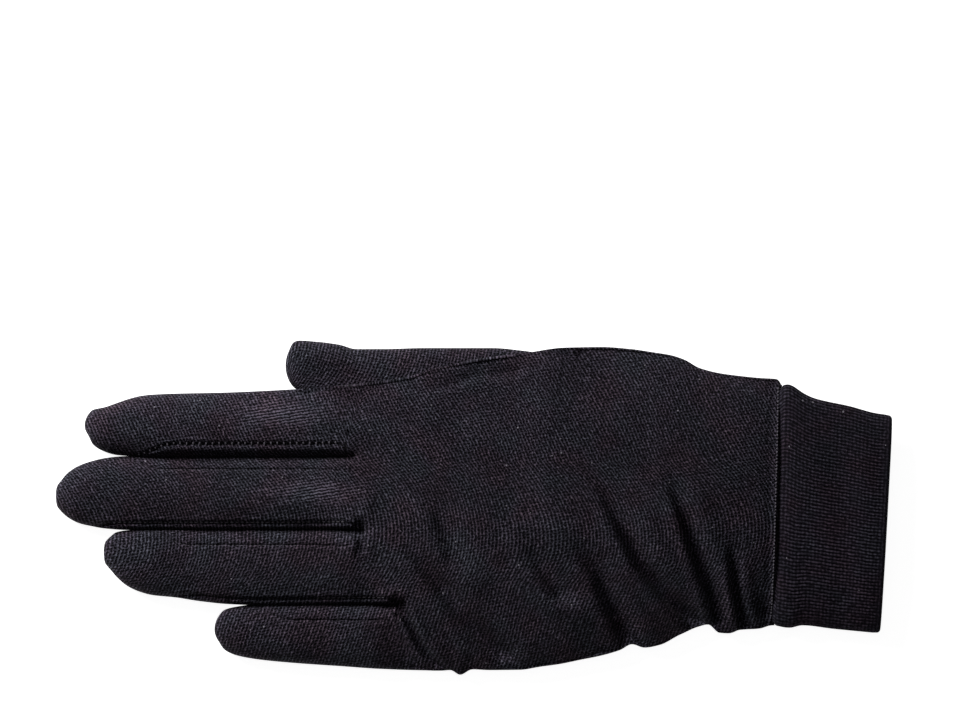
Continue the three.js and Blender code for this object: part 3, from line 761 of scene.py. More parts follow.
def side_rows(strip, towards_thumb, top_grid, under_grid):
    """One finger's half of a side strip: for each row of the finger, points round the finger's side from
    the back's border to the palm's. They follow the finger's own section, over the top to its widest
    line and on underneath, and are then shifted a little so that both ends fall on the borders."""
    column = 0 if towards_thumb else -1
    top_line = top_grid[: FINGER_ROWS + 1, column][:, None]
    under_line = under_grid[: FINGER_ROWS + 1, column][:, None]
    x = top_line[..., 0]
    hi, lo = strip["hi"](x), strip["lo"](x)
    half, middle = (hi - lo) / 2, (hi + lo) / 2
    inset = seam_inset(strip, towards_thumb, x)
    seam_angle = np.arcsin(np.clip(1 - inset / np.maximum(half, 1e-6), 0.0, 1.0))
    w = np.linspace(-1.0, 1.0, SIDE_COLUMNS + 1)[None, :]
    w = np.sign(w) * np.abs(w) ** BORDER_CROWDING
    angle = math.pi / 2 - (math.pi / 2 - seam_angle) * np.abs(w)
    lean = np.sin(angle) * (1 if towards_thumb else -1)
    x_all = np.broadcast_to(x, lean.shape)
    z = np.where(w < 0, finger_height(strip, x_all, lean, True), finger_height(strip, x_all, lean, False))
    away = np.abs(np.where(towards_thumb, hi, lo) - (middle + half * lean))
    from_gap = np.clip(away / np.maximum(inset, 0.1), 0.0, 1.0)
    crowned = 0.0 if towards_thumb else CROWNED * inset * np.sin(math.pi * from_gap)
    relief = (crowned + bells(FINGER_SEAM, inset - away)) * seam_strength(towards_thumb, inset)
    z = z + np.where(w < 0, relief, 0.0)
    grid = np.stack([x_all, middle + half * lean, z], axis=-1)
    share = ((w + 1) / 2)[..., None]
    grid = grid + (top_line - grid[:, :1]) * (1 - share) + (under_line - grid[:, -1:]) * share
    first = int(np.argmax(inset[:, 0] > LEAST_WIDTH))
    return grid[max(first - 1, 0) :]


def side_strip(i):
    """The two halves that meet at crotch i, first down the one finger and then up the other, and for
    each row which way along y its cloth faces."""
    upper = side_rows(strips[i], False, tops[i], unders[i])
    lower = side_rows(strips[i + 1], True, tops[i + 1], unders[i + 1])
    facing = np.concatenate([-np.ones(len(upper)), np.ones(len(lower) - 1)])
    return np.concatenate([upper, lower[::-1][1:]]), facing


def length_round(grid):
    """Length along each row of a grid, from its first column on."""
    steps = np.linalg.norm(np.diff(grid, axis=1), axis=2)
    return np.concatenate([np.zeros((len(grid), 1)), np.cumsum(steps, axis=1)], axis=1)


for i in range(3):
    grid, facing = side_strip(i)
    across = grid[:, :1, 1] + facing[:, None] * length_round(grid)
    place = np.stack([grid[..., 0], across, np.zeros_like(across)], axis=-1)
    fingers = f"{strips[i]['name']}_{strips[i + 1]['name']}"
    mesh = sheet_mesh(f"side_{fingers}", [grid], [place])
    add_piece(mesh, [f"fourchette_{fingers}"], "plain_knit", SIDE_WALL)

# %% [markdown]
# The thumb
#
# The thumb is a tube of its own, sewn into the palm at its root. It lies beside the hand, partly under
# its edge. A capsule could be squashed to this shape, but a loft of rings follows the measured outline:
# each ring is a flattened circle whose two sides come from it.

# %% Thumb
THUMB_SIDES = {
    "outer": [
        (-143.9, 48.0), (-142.9, 52.4), (-141.5, 54.9), (-139.8, 55.4), (-134.0, 55.0), (-128.1, 54.2),
        (-123.0, 52.9), (-115.0, 52.9), (-103.0, 53.2), (-83.0, 53.2), (-74.0, 52.4), (-66.0, 51.0),
        (-59.0, 48.0),
    ],
    "inner": [
        (-143.9, 48.0), (-142.9, 43.6), (-141.5, 41.6), (-139.8, 40.5), (-134.0, 37.7), (-128.0, 35.7),
        (-123.0, 34.0), (-115.0, 33.0), (-103.0, 33.0), (-59.0, 33.0),
    ],
}
THUMB_RINGS = 130
RING_POINTS = 72
THUMB_ROOT = -59.0
THUMB_CROWDING = 0.22  # spacing of the first rings against even rings
THUMB_ROUND = 8.0  # length over which the thumb's tip comes down
THUMB_BELT = 3.0  # height of its widest line
THUMB_LOWEST = 0.3
RING_FULLNESS = 0.9  # below 1, a ring is fuller at its sides than a circle
THUMB_WAVES = 0.5  # share of the hand's waves that the thumb has


def thumb_surface():
    """Rings along x. y is the middle plus half the width times the cosine of the ring's angle, and z a
    squashed sine: domed above, flat below. The tip comes down as a quarter circle."""
    outer, inner = side_curve(THUMB_SIDES["outer"]), side_curve(THUMB_SIDES["inner"])
    s = (np.arange(THUMB_RINGS + 1) / THUMB_RINGS)[:, None]
    tip_x = THUMB_SIDES["outer"][0][0]
    x = tip_x + (THUMB_ROOT - tip_x) * s**2 / (s + THUMB_CROWDING * (1 - s))
    angle = (np.arange(RING_POINTS) / RING_POINTS * 2 * math.pi)[None, :]
    away = x - tip_x
    tip = np.sqrt(np.clip(1 - (1 - np.minimum(away, THUMB_ROUND) / THUMB_ROUND) ** 2, 0.0, 1.0))
    half, middle = (outer(x) - inner(x)) / 2, (outer(x) + inner(x)) / 2
    y = middle + half * np.sign(np.cos(angle)) * np.abs(np.cos(angle)) ** RING_FULLNESS
    up = np.sin(angle)
    tip_share = 0.2 + 0.8 * tip
    dome = tip_share * np.abs(up) ** LOAF * np.minimum(1.0, 3 * tip)
    above = THUMB_BELT + (THUMB_TOP - THUMB_BELT) * dome
    drop = np.tanh(FLATNESS * np.abs(up) * tip_share) / math.tanh(FLATNESS)
    below = THUMB_BELT - (THUMB_BELT - THUMB_LOWEST) * drop
    z = np.where(up >= 0, above, below)
    z = z + THUMB_WAVES * soft_waves(x, 3 * y) * (up > 0) * np.abs(up) * smoothstep(2.0, 10.0, away)
    return np.stack([np.broadcast_to(x, y.shape), y, z], axis=-1)


thumb_grid = thumb_surface()
ring_run = length_round(thumb_grid)
thumb_place = np.stack([thumb_grid[..., 0], ring_run, np.zeros_like(ring_run)], axis=-1)
add_piece(
    sheet_mesh("thumb", [thumb_grid], [thumb_place], closed=True), ["thumb_sleeve"], "plain_knit", WALL
)

# %% [markdown]
# The ribbed cuff
#
# A rib knit has columns of stitches that stand out and columns that sink in, so that it stretches. The
# cuff is folded double at its free edge. A bump in the material could draw the ribs, but they also show
# in the outline, so they are real relief: one section, carried along the wrist from the seam to the
# folded edge and a little way back inside, with a wave round it at the spacing counted on the photograph.

# %% Section of the cuff
CUFF_HEIGHT = 10.0
CUFF_WIDTH = 66.0
SQUARENESS = 2.6  # power of the superellipse; 2 would be an ellipse
RIB_SPACING = 1.0
RIB_DEPTH = 0.12
POINTS_PER_RIB = 6
FINE_STEPS = 4001


def even_section(count):
    """Points evenly spaced round a flattened tube: the superellipse, traced finely, its length summed,
    and count places taken at equal lengths. Starts at the thumb side and goes up. Returns y and z as
    shares of the half width and half height, and the length round."""
    fine = np.linspace(0.0, 2 * math.pi, FINE_STEPS)
    power = 2 / SQUARENESS
    y = np.sign(np.cos(fine)) * np.abs(np.cos(fine)) ** power * CUFF_WIDTH / 2
    z = np.sign(np.sin(fine)) * np.abs(np.sin(fine)) ** power * CUFF_HEIGHT / 2
    run = np.concatenate([[0.0], np.cumsum(np.hypot(np.diff(y), np.diff(z)))])
    at = np.arange(count) / count * run[-1]
    return np.interp(at, run, y) / (CUFF_WIDTH / 2), np.interp(at, run, z) / (CUFF_HEIGHT / 2), run[-1]


ribs = round(even_section(POINTS_PER_RIB)[2] / RIB_SPACING)
print("ribs round the cuff:", ribs)

# %% Cuff
CUFF_LENGTH = 32.6
CUFF_TOP = curve_through([
    (0.0, 42.3), (1.6, 42.5), (3.2, 41.9), (6.4, 39.8), (9.7, 38.3), (20.0, 36.0), (28.0, 33.9),
    (32.9, 33.3),
])
CUFF_BOTTOM = curve_through([(0.0, -28.4), (4.7, -28.9), (8.5, -28.2), (18.0, -29.2), (32.0, -30.5)])
CUFF_TALL = curve_through([(0.0, 9.3), (3.0, 10.2), (16.0, 9.6), (33.0, 9.2)])
CUFF_EDGE_SLANT = 0.056  # the free edge leans, as the seam does
CUFF_START = [(-0.9, 1.3), (-0.3, 0.9), (0.05, 0.4), (0.35, 0.12), (0.8, 0.02)]  # place, and how deep
OUTSIDE_ROWS = 40
INSIDE_ROWS = 14
INSIDE_TO = 2.0  # the inner layer ends this far from the seam
LAYERS = 2.0  # thickness of the folded cuff
FOLD_ROUND = 1.2  # length over which the cuff curves round its folded edge
RIBS_FROM = (0.9, 3.2)  # the ribs rise between these places and sink again at the folded edge
RIBS_TO = (30.2, 31.4)
CUFF_WAVES = 0.35  # share of the hand's waves that the cuff's upper side has
CUFF_LOWEST = 0.05


def cuff_rows():
    """Place along the cuff and depth inwards of each row: sunk into the hand at the start, level with
    the surface, a quarter turn out and a quarter turn back at the fold, and the inner layer."""
    edge = CUFF_LENGTH - FOLD_ROUND
    turn_out = np.linspace(0.15, 1.0, 7) * math.pi / 2
    turn_back = np.linspace(0.15, 0.85, 5) * math.pi / 2
    start, sunk = np.array(CUFF_START).T
    along = np.concatenate([
        start, np.linspace(1.5, edge, OUTSIDE_ROWS), edge + FOLD_ROUND * np.sin(turn_out),
        edge + FOLD_ROUND * np.cos(turn_back), np.linspace(edge, INSIDE_TO, INSIDE_ROWS),
    ])
    inwards = np.concatenate([
        sunk, np.zeros(OUTSIDE_ROWS), LAYERS / 2 * (1.0 - np.cos(turn_out)),
        LAYERS / 2 * (1.0 + np.sin(turn_back)), np.full(INSIDE_ROWS, LAYERS),
    ])
    return along[:, None], inwards[:, None]


def cuff_surface():
    """Grid of the cuff. Each row is the section scaled to the cuff's width and height there, less its
    depth inwards, with the ribs' cosine added outwards."""
    count = ribs * POINTS_PER_RIB
    side, up, _ = even_section(count)
    along, inwards = cuff_rows()
    hi, lo = CUFF_TOP(along), CUFF_BOTTOM(along)
    half, middle = (hi - lo) / 2 - inwards, (hi + lo) / 2
    tall = CUFF_TALL(along) / 2 - inwards
    phase = np.cos(2 * math.pi * ribs * np.arange(count) / count)[None, :]
    ribbed = RIB_DEPTH * phase * smoothstep(*RIBS_FROM, along) * (1 - smoothstep(*RIBS_TO, along))
    y = middle + (half + ribbed) * side[None, :]
    dip = CUFF_WAVES * soft_waves(along * 2.0, y)
    z = CUFF_HEIGHT / 2 + (tall + ribbed + dip * (up[None, :] > 0)) * up[None, :]
    x = along + seam_line(y) * (1 - along / CUFF_LENGTH)
    x = x + CUFF_EDGE_SLANT * (y - 1.0) * along / CUFF_LENGTH
    turn = np.broadcast_to((np.arange(count) / count * ribs)[None, :], y.shape)
    place = np.stack([np.broadcast_to(along, y.shape), turn, np.zeros_like(y)], axis=-1)
    return np.stack([x, y, np.maximum(z, CUFF_LOWEST)], axis=-1), place


cuff_grid, cuff_place = cuff_surface()
cuff = add_piece(sheet_mesh("cuff", [cuff_grid], [cuff_place], closed=True), ["rib_cuff"], "rib_knit")

# %% [markdown]
# Stitches
#
# Sewing shows as small raised threads along the seams. Single stitches could be objects of their own, but
# one mesh for each seam keeps the scene light: a short rounded bead is copied along the seam's path by
# numpy, turned along it or across it.

# %% One row of stitches
BEAD_RINGS = 7
BEAD_ROUND = 8
STITCH_LENGTHS = (0.7, 1.2)  # shortest and longest stitch, as shares of the seam's stitch length
LOOK_AHEAD = 0.3  # a path's direction is taken between points this far before and behind
UP = [0.0, 0.0, 1.0]


def evenly(path, pitch):
    """Points at equal distances along a path of (n, 3) points, and the path's direction there."""
    run = np.concatenate([[0.0], np.cumsum(np.linalg.norm(np.diff(path, axis=0), axis=1))])
    at = np.arange(pitch / 2, run[-1], pitch)

    def point(where):
        return np.stack([np.interp(where, run, path[:, axis]) for axis in range(3)], axis=-1)

    way = point(at + LOOK_AHEAD) - point(at - LOOK_AHEAD)
    return point(at), way / np.linalg.norm(way, axis=1)[:, None]


def add_stitches(name, path, pitch, length, width, across=False):
    """One mesh of beads. A bead is an ellipsoid: a sine profile of the width, carried round the long
    axis, which lies along the path or across it."""
    places, way = evenly(path, pitch)
    if across:
        way = np.cross(way, UP)
    side = np.cross(way, UP)
    up = np.cross(side, way)
    chance = np.random.default_rng(11).uniform(*STITCH_LENGTHS, (len(places), 1, 1, 1))
    polar = np.linspace(0.0, math.pi, BEAD_RINGS)[None, :, None, None]
    round_ = (np.arange(BEAD_ROUND) / BEAD_ROUND * 2 * math.pi)[None, None, :, None]
    bead = places[:, None, None, :] - chance * length / 2 * np.cos(polar) * way[:, None, None, :]
    bead = bead + width / 2 * np.sin(polar) * (
        np.cos(round_) * side[:, None, None, :] + np.sin(round_) * up[:, None, None, :]
    )
    grids = list(bead)
    return add_piece(sheet_mesh(name, grids, grids, faces_up=False, closed=True), [], "plain_knit")


print("faces of one stitch:", (BEAD_RINGS - 1) * BEAD_ROUND)

# %% Stitches of the seams
# Each finger seam follows a column of a strip's grid between two places along x.
FINGER_STITCHES = [
    {"seam": "index", "strip": 0, "column": -4, "start": -188.0, "end": -128.0,
     "pitch": 1.9, "length": 1.3, "width": 0.55, "across": True},
    {"seam": "middle", "strip": 1, "column": -3, "start": -195.0, "end": -125.0,
     "pitch": 1.5, "length": 1.1, "width": 0.42},
    {"seam": "ring", "strip": 2, "column": -3, "start": -135.0, "end": -113.0,
     "pitch": 1.5, "length": 1.1, "width": 0.4},
    {"seam": "middle_upper", "strip": 1, "column": 1, "start": -182.0, "end": -160.0,
     "pitch": 1.3, "length": 0.7, "width": 0.2},
    {"seam": "ring_upper", "strip": 2, "column": 1, "start": -177.0, "end": -140.0,
     "pitch": 1.3, "length": 0.7, "width": 0.2},
]
CUFF_STITCHES = {"pitch": 1.0, "length": 0.7, "width": 0.55}
CUFF_STITCHES_BACK = 1.15  # they lie this far from the cuff's seam, and on the ridge beside it
RIDGE = 1.2
for seam in FINGER_STITCHES:
    path = tops[seam["strip"]][: FINGER_ROWS + 1, seam["column"]]
    path = path[(path[:, 0] > seam["start"]) & (path[:, 0] < seam["end"])]
    add_stitches(
        f"stitches_{seam['seam']}", path, seam["pitch"], seam["length"], seam["width"],
        seam.get("across", False),
    )
seam_y = np.linspace(-26.0, 42.0, 200)
seam_x = seam_line(seam_y) - CUFF_STITCHES_BACK
seam_z = hand_top(seam_x, seam_y) + bells(CUFF_SEAM, RIDGE)
add_stitches("stitches_cuff", np.stack([seam_x, seam_y, seam_z], axis=-1), **CUFF_STITCHES)

# %% [markdown]
# Nodes and colours
#
# A material is a graph of nodes. It can be drawn by hand in the editor, or written down, as here, where
# every line is one node. Colours are picked as sRGB hex values, as in a paint program, and turned to the
# linear values that the shader works with.

# %% Helpers for materials
MATH = "ShaderNodeMath"
NOISE = "ShaderNodeTexNoise"
SPLIT = "ShaderNodeSeparateXYZ"
MIX = "ShaderNodeMix"
TIMES = {"operation": "MULTIPLY"}
TIMES_PLUS = {"operation": "MULTIPLY_ADD"}
COSINE = {"operation": "COSINE"}
MIX_FACTOR, MIX_A, MIX_B, MIX_COLOUR = 0, 6, 7, 2  # places of a Mix node's colour sockets


def linear(hex_colour):
    """sRGB hex to linear: ((c + 0.055) / 1.055) to the power 2.4, or c / 12.92 for dark values."""
    channels = [int(hex_colour[i : i + 2], 16) / 255 for i in (1, 3, 5)]
    return tuple(c / 12.92 if c <= 0.04045 else ((c + 0.055) / 1.055) ** 2.4 for c in channels) + (1.0,)


def fill_ramp(ramp, stops):
    """Puts (place, hex colour) stops on a colour ramp, which starts with one stop at each end."""
    for element, (place, colour) in zip(list(ramp.elements), (stops[0], stops[-1])):
        element.position, element.color = place, linear(colour)
    for place, colour in stops[1:-1]:
        ramp.elements.new(place).color = linear(colour)


def node(tree, kind, settings, inputs):
    """Adds one node and returns its outputs. settings are its properties, or the stops of its ramp.
    inputs go by socket name or by order: a value is set on the socket, another node's output linked."""
    made = tree.nodes.new(kind)
    for key, value in settings.items():
        if key == "stops":
            fill_ramp(made.color_ramp, value)
        else:
            setattr(made, key, value)
    for key, value in inputs.items() if isinstance(inputs, dict) else enumerate(inputs):
        if isinstance(value, bpy.types.NodeSocket):
            tree.links.new(value, made.inputs[key])
        else:
            made.inputs[key].default_value = value
    return made.outputs


def new_material(name):
    """An empty material and its node tree."""
    material = bpy.data.materials.new(name)
    material.use_nodes = True
    material.node_tree.nodes.clear()
    return material, material.node_tree


print("black yarn, linear:", [round(c, 4) for c in linear("#1c1a1f")[:3]])

# %% [markdown]
# What all the black cloth has
#
# Dyed cotton is never one black. Washing leaves it bluer in one patch and redder in the next, and pale
# lint sticks to it. Both knits get this from one function: a ramp from the holes' black to the yarn's
# grey, multiplied by slow patches of tint, with a speck in some cells of a Voronoi pattern. In the
# jersey the ramp's darkest end is painted shade in the holes and its palest end a painted highlight on
# the yarn. A picture of real cloth would be quicker, but a pattern made of numbers has no edge and no
# fixed resolution.

# %% Colour of black cotton
TINT_SCALE = 0.085  # 1 / mm: patches of about 12 mm
TINTS = [(0.36, "#f0faff"), (0.5, "#fbf4ff"), (0.64, "#ffe8f2")]
LINT_SCALE = 0.32  # 1 / mm: a cell for a speck every 3 mm
LINT_SIZE = 0.075  # radius of a speck, as a share of its cell
LINT_SHARE = 0.7  # cells whose random number is lower have no speck
LINT = "#7c7880"
FIBRE_SCALE = 3.6  # 1 / mm: 0.3 mm, coarser than real fibres, because a pixel is that wide
MATT_COTTON = {"Roughness": 0.9, "IOR": 1.45, "Specular IOR Level": 0.08, "Sheen Weight": 0.02,
               "Sheen Roughness": 0.5}


def cotton_colour(tree, cloth, brightness, stops):
    """Yarn brightness to colour: the ramp times the tint, with lint on top."""
    yarn = node(tree, "ShaderNodeValToRGB", {"stops": stops}, {"Fac": brightness})["Color"]
    patches = node(tree, NOISE, {}, {"Vector": cloth, "Scale": TINT_SCALE, "Detail": 2.0})["Fac"]
    tint = node(tree, "ShaderNodeValToRGB", {"stops": TINTS}, {"Fac": patches})["Color"]
    multiply = {"data_type": "RGBA", "blend_type": "MULTIPLY"}
    tinted = node(tree, MIX, multiply, {MIX_FACTOR: 1.0, MIX_A: yarn, MIX_B: tint})[MIX_COLOUR]
    cells = node(tree, "ShaderNodeTexVoronoi", {}, {"Vector": cloth, "Scale": LINT_SCALE})
    near = node(tree, MATH, {"operation": "LESS_THAN"}, [cells["Distance"], LINT_SIZE])[0]
    chance = node(tree, SPLIT, {}, [cells["Color"]])["X"]
    chosen = node(tree, MATH, {"operation": "GREATER_THAN"}, [chance, LINT_SHARE])[0]
    speck = node(tree, MATH, TIMES, [near, chosen])[0]
    with_lint = {MIX_FACTOR: speck, MIX_A: tinted, MIX_B: linear(LINT)}
    return node(tree, MIX, {"data_type": "RGBA"}, with_lint)[MIX_COLOUR]


def yarn_brightness(tree, cloth, own_scale, own, fibres, least):
    """Brightness from loop to loop and from fibre to fibre: least, plus two noises times their shares."""
    loops = node(tree, NOISE, {}, {"Vector": cloth, "Scale": own_scale, "Detail": 0.0})["Fac"]
    fine = node(tree, NOISE, {}, {"Vector": cloth, "Scale": FIBRE_SCALE, "Detail": 1.0})["Fac"]
    share = node(tree, MATH, TIMES_PLUS, [loops, own, least])[0]
    return node(tree, MATH, TIMES_PLUS, [fine, fibres, share])[0]


def finish_cotton(tree, cloth, brightness, stops, relief, strength, depth):
    """The shader of matt cotton, with its colour and with relief as bump of a depth in metres."""
    bump = node(tree, "ShaderNodeBump", {}, {"Strength": strength, "Distance": depth, "Height": relief})
    colour = cotton_colour(tree, cloth, brightness, stops)
    inputs = {**MATT_COTTON, "Base Color": colour, "Normal": bump["Normal"]}
    shader = node(tree, "ShaderNodeBsdfPrincipled", {}, inputs)
    node(tree, "ShaderNodeOutputMaterial", {}, {"Surface": shader["BSDF"]})


print("tints:", len(TINTS), "a speck of lint is", round(2 * LINT_SIZE / LINT_SCALE, 2), "mm wide")

# %% [markdown]
# Black cotton jersey
#
# The plain knit is a fine jersey of spun yarn. From above, each loop shows as a small dark hole with
# lighter yarn round it, in a leaning lattice, and the fibres make it matt. It could be modelled loop by
# loop, but here a loop is three pixels wide, so the lattice is drawn by the material, in colour and bump.
# The holes' dark is painted shade and the yarn's palest grey a painted highlight.

# %% Jersey
HOLE_PITCH = 1.05  # from one hole of the jersey to the next
ROW_SQUEEZE = 0.85  # across the finger the holes are closer, by this share
ROW_LEAN = 0.16  # the rows of holes rise by this much for each millimetre along
DRAG_SCALE = 0.03  # 1 / mm: the lattice is dragged to and fro over about 33 mm
DRAG = 5.0  # millimetres, from one end of the noise to the other
JITTER_SCALE = 1.1  # 1 / mm: each loop sits a little off its place
JITTER = 0.9
LEAN_RANGE = {"From Min": -16.0, "From Max": 20.0, "To Min": -0.3, "To Max": 0.5}  # columns' lean at y
NET = (-0.09, 0.6)  # the columns' relief and the yarn's middle brightness
# holes sink in the bump and are darkened in colour: the dark is painted shade
HOLE_DEPTH_AND_SHADE = -0.7
PATCH_SCALE = 0.12  # 1 / mm: paler and darker patches of about 8 mm
PATCHES = 0.16
PAINTED_HIGHLIGHT_WHERE_TIGHT = 0.4  # painted highlight: loops where the cloth is drawn tight are made this much brighter
# darkest stop: painted shade in the holes; palest stop: painted highlight on the yarn
JERSEY_STOPS_SHADE_TO_HIGHLIGHT = [(0.16, "#040407"), (0.45, "#1c1a1f"), (0.72, "#403d45"), (1.0, "#6c6872")]
TURN = 2 * math.pi


def jersey_material():
    """Black jersey. Two cosine waves cross in a leaning lattice, and where both are high is a hole between
    the loops; the first one also raises the columns of yarn. The holes are darkened in colour, which is
    painted shade. Noises vary the yarn's brightness from loop to loop and drag the lattice to and fro, as
    worn cloth is. Where the cloth is drawn tight, the holes join into lines and a highlight is painted on."""
    material, tree = new_material("black_cotton_jersey")
    cloth = node(tree, "ShaderNodeAttribute", {"attribute_name": "cloth"}, {})["Vector"]
    place = node(tree, SPLIT, {}, [cloth])
    u, v, tight_share_and_highlight = place["X"], place["Y"], place["Z"]
    drag = node(tree, NOISE, {}, {"Vector": cloth, "Scale": DRAG_SCALE, "Detail": 0.0})["Fac"]
    jitter = node(tree, NOISE, {}, {"Vector": cloth, "Scale": JITTER_SCALE, "Detail": 1.0})["Color"]
    shift = node(tree, SPLIT, {}, [jitter])
    lean = node(tree, "ShaderNodeMapRange", {}, {"Value": v, **LEAN_RANGE})["Result"]
    column = node(tree, MATH, TIMES_PLUS, [v, lean, u])[0]
    column = node(tree, MATH, TIMES_PLUS, [drag, DRAG, column])[0]
    column = node(tree, MATH, TIMES_PLUS, [shift["X"], JITTER, column])[0]
    row = node(tree, MATH, TIMES_PLUS, [u, -ROW_LEAN, v])[0]
    row = node(tree, MATH, TIMES_PLUS, [shift["Y"], JITTER, row])[0]
    column_wave = node(tree, MATH, COSINE, [node(tree, MATH, TIMES, [column, TURN / HOLE_PITCH])[0]])[0]
    row_pitch = HOLE_PITCH * ROW_SQUEEZE
    row_wave = node(tree, MATH, COSINE, [node(tree, MATH, TIMES, [row, TURN / row_pitch])[0]])[0]
    wide = node(tree, MATH, TIMES_PLUS, [column_wave, 0.5, 0.5])[0]
    wide = node(tree, MATH, {"operation": "MAXIMUM"}, [wide, tight_share_and_highlight])[0]
    tall = node(tree, MATH, TIMES_PLUS, [row_wave, 0.5, 0.5])[0]
    hole = node(tree, MATH, TIMES, [wide, tall])[0]
    net = node(tree, MATH, TIMES_PLUS, [column_wave, *NET])[0]
    # holes darkened: painted shade, and also the relief of the bump
    loop = node(tree, MATH, TIMES_PLUS, [hole, HOLE_DEPTH_AND_SHADE, net])[0]
    share = yarn_brightness(tree, cloth, own_scale=1.4, own=1.2, fibres=1.3, least=-0.2)
    varied = node(tree, MATH, TIMES, [loop, share])[0]
    patches = node(tree, NOISE, {}, {"Vector": cloth, "Scale": PATCH_SCALE, "Detail": 2.0})["Fac"]
    centred = node(tree, MATH, {"operation": "SUBTRACT"}, [patches, 0.5])[0]
    varied = node(tree, MATH, TIMES_PLUS, [centred, PATCHES, varied])[0]
    # painted highlight where the cloth is drawn tight
    varied = node(tree, MATH, TIMES_PLUS, [tight_share_and_highlight, PAINTED_HIGHLIGHT_WHERE_TIGHT, varied])[0]
    finish_cotton(tree, cloth, varied, JERSEY_STOPS_SHADE_TO_HIGHLIGHT, relief=varied, strength=0.8, depth=0.0003)
    return material


jersey = jersey_material()
print(jersey.name, "nodes:", len(jersey.node_tree.nodes))

# %% [markdown]
# Black cotton rib
#
# The cuff shows narrow ribs along the hand, crossed by the courses of the knit. The ribs are in the mesh.
# What the material adds is each crossing's small round of yarn, with the same matt finish as the jersey.
# The cloth's second coordinate counts ribs here, so colour and relief stay in step.

# %% Rib
COURSE = 1.1  # from one course to the next
RIB_JITTER_SCALE = 0.7
RIB_JITTER = 0.8
# The ribs' strength, against the place along the cuff: they fade at the fold
RIB_RANGE = {"From Min": 30.2, "From Max": 31.2, "To Min": 0.24, "To Max": 0.05}
COURSE_RELIEF = 0.12
RIB_STOPS = [(0.1, "#060508"), (0.5, "#1c191f"), (1.0, "#47424b")]


def rib_material():
    """Black rib knit: the ribs' cosine plus a weaker cosine of the courses, times the yarn's brightness.
    The ribs end short of the folded edge."""
    material, tree = new_material("black_cotton_rib")
    cloth = node(tree, "ShaderNodeAttribute", {"attribute_name": "cloth"}, {})["Vector"]
    place = node(tree, SPLIT, {}, [cloth])
    jitter = node(tree, NOISE, {}, {"Vector": cloth, "Scale": RIB_JITTER_SCALE, "Detail": 1.0})["Color"]
    shift = node(tree, SPLIT, {}, [jitter])
    along = node(tree, MATH, TIMES_PLUS, [shift["X"], RIB_JITTER, place["X"]])[0]
    across = node(tree, MATH, TIMES_PLUS, [shift["Y"], RIB_JITTER, place["Y"]])[0]
    course_wave = node(tree, MATH, COSINE, [node(tree, MATH, TIMES, [along, TURN / COURSE])[0]])[0]
    rib_wave = node(tree, MATH, COSINE, [node(tree, MATH, TIMES, [across, TURN])[0]])[0]
    strength = node(tree, "ShaderNodeMapRange", {}, {"Value": place["X"], **RIB_RANGE})["Result"]
    courses = node(tree, MATH, TIMES, [course_wave, COURSE_RELIEF])[0]
    loop = node(tree, MATH, TIMES_PLUS, [rib_wave, strength, courses])[0]
    loop = node(tree, MATH, {"operation": "ADD"}, [loop, 0.5])[0]
    share = yarn_brightness(tree, cloth, own_scale=1.2, own=1.1, fibres=1.1, least=-0.1)
    varied = node(tree, MATH, TIMES, [loop, share])[0]
    finish_cotton(tree, cloth, varied, RIB_STOPS, relief=loop, strength=0.5, depth=0.0002)
    return material


rib = rib_material()
print(rib.name, "nodes:", len(rib.node_tree.nodes))

# %% [markdown]
# Black sewing thread
#
# Sewing thread is smoother than the knit's spun yarn and catches more light, so the stitches show as
# small pale dashes on the black. A thread here is one or two pixels wide, too fine for its twist to show,
# so it has one colour and a lower roughness. That colour is a pale grey: a painted highlight on black
# thread.

# %% Thread
# pale grey on black thread: a painted highlight
THREAD_PAINTED_HIGHLIGHT_COLOUR = "#57535b"
thread, thread_tree = new_material("black_thread_painted_highlight")
thread_inputs = {
    "Base Color": linear(THREAD_PAINTED_HIGHLIGHT_COLOUR), "Roughness": 0.6, "IOR": 1.45, "Specular IOR Level": 0.3,
}
thread_shader = node(thread_tree, "ShaderNodeBsdfPrincipled", {}, thread_inputs)
node(thread_tree, "ShaderNodeOutputMaterial", {}, {"Surface": thread_shader["BSDF"]})
for piece in bpy.context.scene.objects:
    if piece.get("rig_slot"):
        finish = rib if piece is cuff else thread if piece.name.startswith("stitches") else jersey
        piece.data.materials.clear()
        piece.data.materials.append(finish)
        print(piece.name, "has", finish.name)

# %% [markdown]
# Floor, light and camera
#
# The photograph looks straight down on a white surface. A lamp at the fingers' and the thumb's side
# stands low, so that the folds across the wrist get a light and a dark side, and a large weak one above
# fills the shadows. The floor glows by itself, which keeps it white and its shadows faint, as in the
# photograph. A longer exposure would also whiten it, but it would grey the black cloth.

# %% Floor
FLOOR_SIZE = 3.0  # metres
FLOOR_DROP = 0.0002  # metres: it lies just under the liner
corners = [(-1, -1), (1, -1), (1, 1), (-1, 1)]
floor_points = [(x * FLOOR_SIZE / 2, y * FLOOR_SIZE / 2, -FLOOR_DROP) for x, y in corners]
floor_mesh = bpy.data.meshes.new("floor")
floor_mesh.from_pydata(floor_points, [], [(0, 1, 2, 3)])
floor = bpy.data.objects.new("floor", floor_mesh)
bpy.context.scene.collection.objects.link(floor)
paper, paper_tree = new_material("white_paper")
paper_inputs = {
    "Base Color": linear("#f4f4f4"), "Roughness": 0.95, "Specular IOR Level": 0.1,
    "Emission Color": linear("#ffffff"), "Emission Strength": 0.92,
}
paper_shader = node(paper_tree, "ShaderNodeBsdfPrincipled", {}, paper_inputs)
node(paper_tree, "ShaderNodeOutputMaterial", {}, {"Surface": paper_shader["BSDF"]})
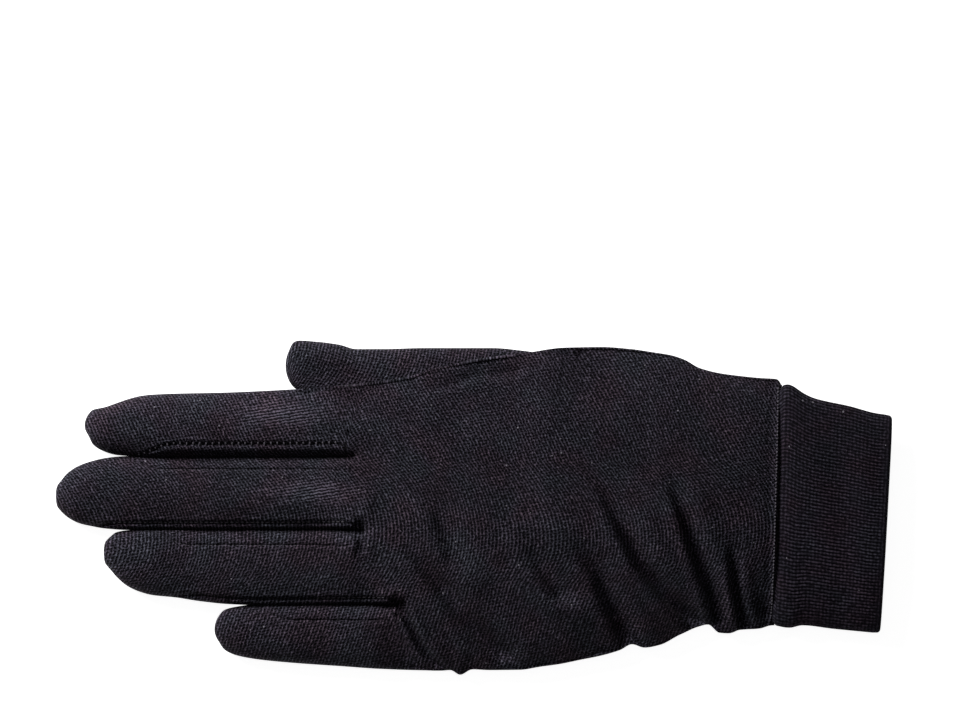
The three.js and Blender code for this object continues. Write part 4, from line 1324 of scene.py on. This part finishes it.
floor_mesh.materials.append(paper)
print("floor, m:", FLOOR_SIZE)

# %% Light
LAMPS = [  # place and size in metres, power in watts
    {"name": "key", "place": (-0.45, 0.46, 0.33), "size": 0.32, "power": 7.0},
    {"name": "fill", "place": (-0.1, 0.3, 1.4), "size": 1.0, "power": 0.8},
]
WORLD_LIGHT = 0.05
for lamp in LAMPS:
    data = bpy.data.lights.new(lamp["name"], "AREA")
    data.size, data.energy = lamp["size"], lamp["power"]
    light = bpy.data.objects.new(lamp["name"], data)
    light.location = lamp["place"]
    light.rotation_euler = Vector(-np.array(lamp["place"])).to_track_quat("-Z", "Y").to_euler()
    bpy.context.scene.collection.objects.link(light)
world = bpy.data.worlds.new("studio")
world.use_nodes = True
world.node_tree.nodes["Background"].inputs["Color"].default_value = (1.0, 1.0, 1.0, 1.0)
world.node_tree.nodes["Background"].inputs["Strength"].default_value = WORLD_LIGHT
bpy.context.scene.world = world
bpy.context.scene.view_settings.view_transform = "Standard"
print("lamps:", [lamp["name"] for lamp in LAMPS])

# %% Camera
PIXEL = 0.2938  # millimetres on the liner for one pixel of the 958 x 720 image
IMAGE = (958, 720)
SEAM_PIXEL = (775.0, 529.0)  # where the drawing's zero shows in the image
CAMERA_HEIGHT = 1.3  # metres
LINER_MIDDLE = 0.005  # metres: the height at which PIXEL holds
SENSOR = 36.0
camera_data = bpy.data.cameras.new("camera")
camera_data.sensor_width = SENSOR
camera_data.lens = SENSOR * (CAMERA_HEIGHT - LINER_MIDDLE) * METRE / (IMAGE[0] * PIXEL)
camera = bpy.data.objects.new("camera", camera_data)
view_x = (IMAGE[0] / 2 - SEAM_PIXEL[0]) * PIXEL
view_y = (SEAM_PIXEL[1] - IMAGE[1] / 2) * PIXEL
camera.location = ((origin_x + view_x) / METRE, (origin_y + view_y) / METRE, CAMERA_HEIGHT)
bpy.context.scene.collection.objects.link(camera)
bpy.context.scene.camera = camera
print("camera above (mm):", round(origin_x + view_x, 1), round(origin_y + view_y, 1))
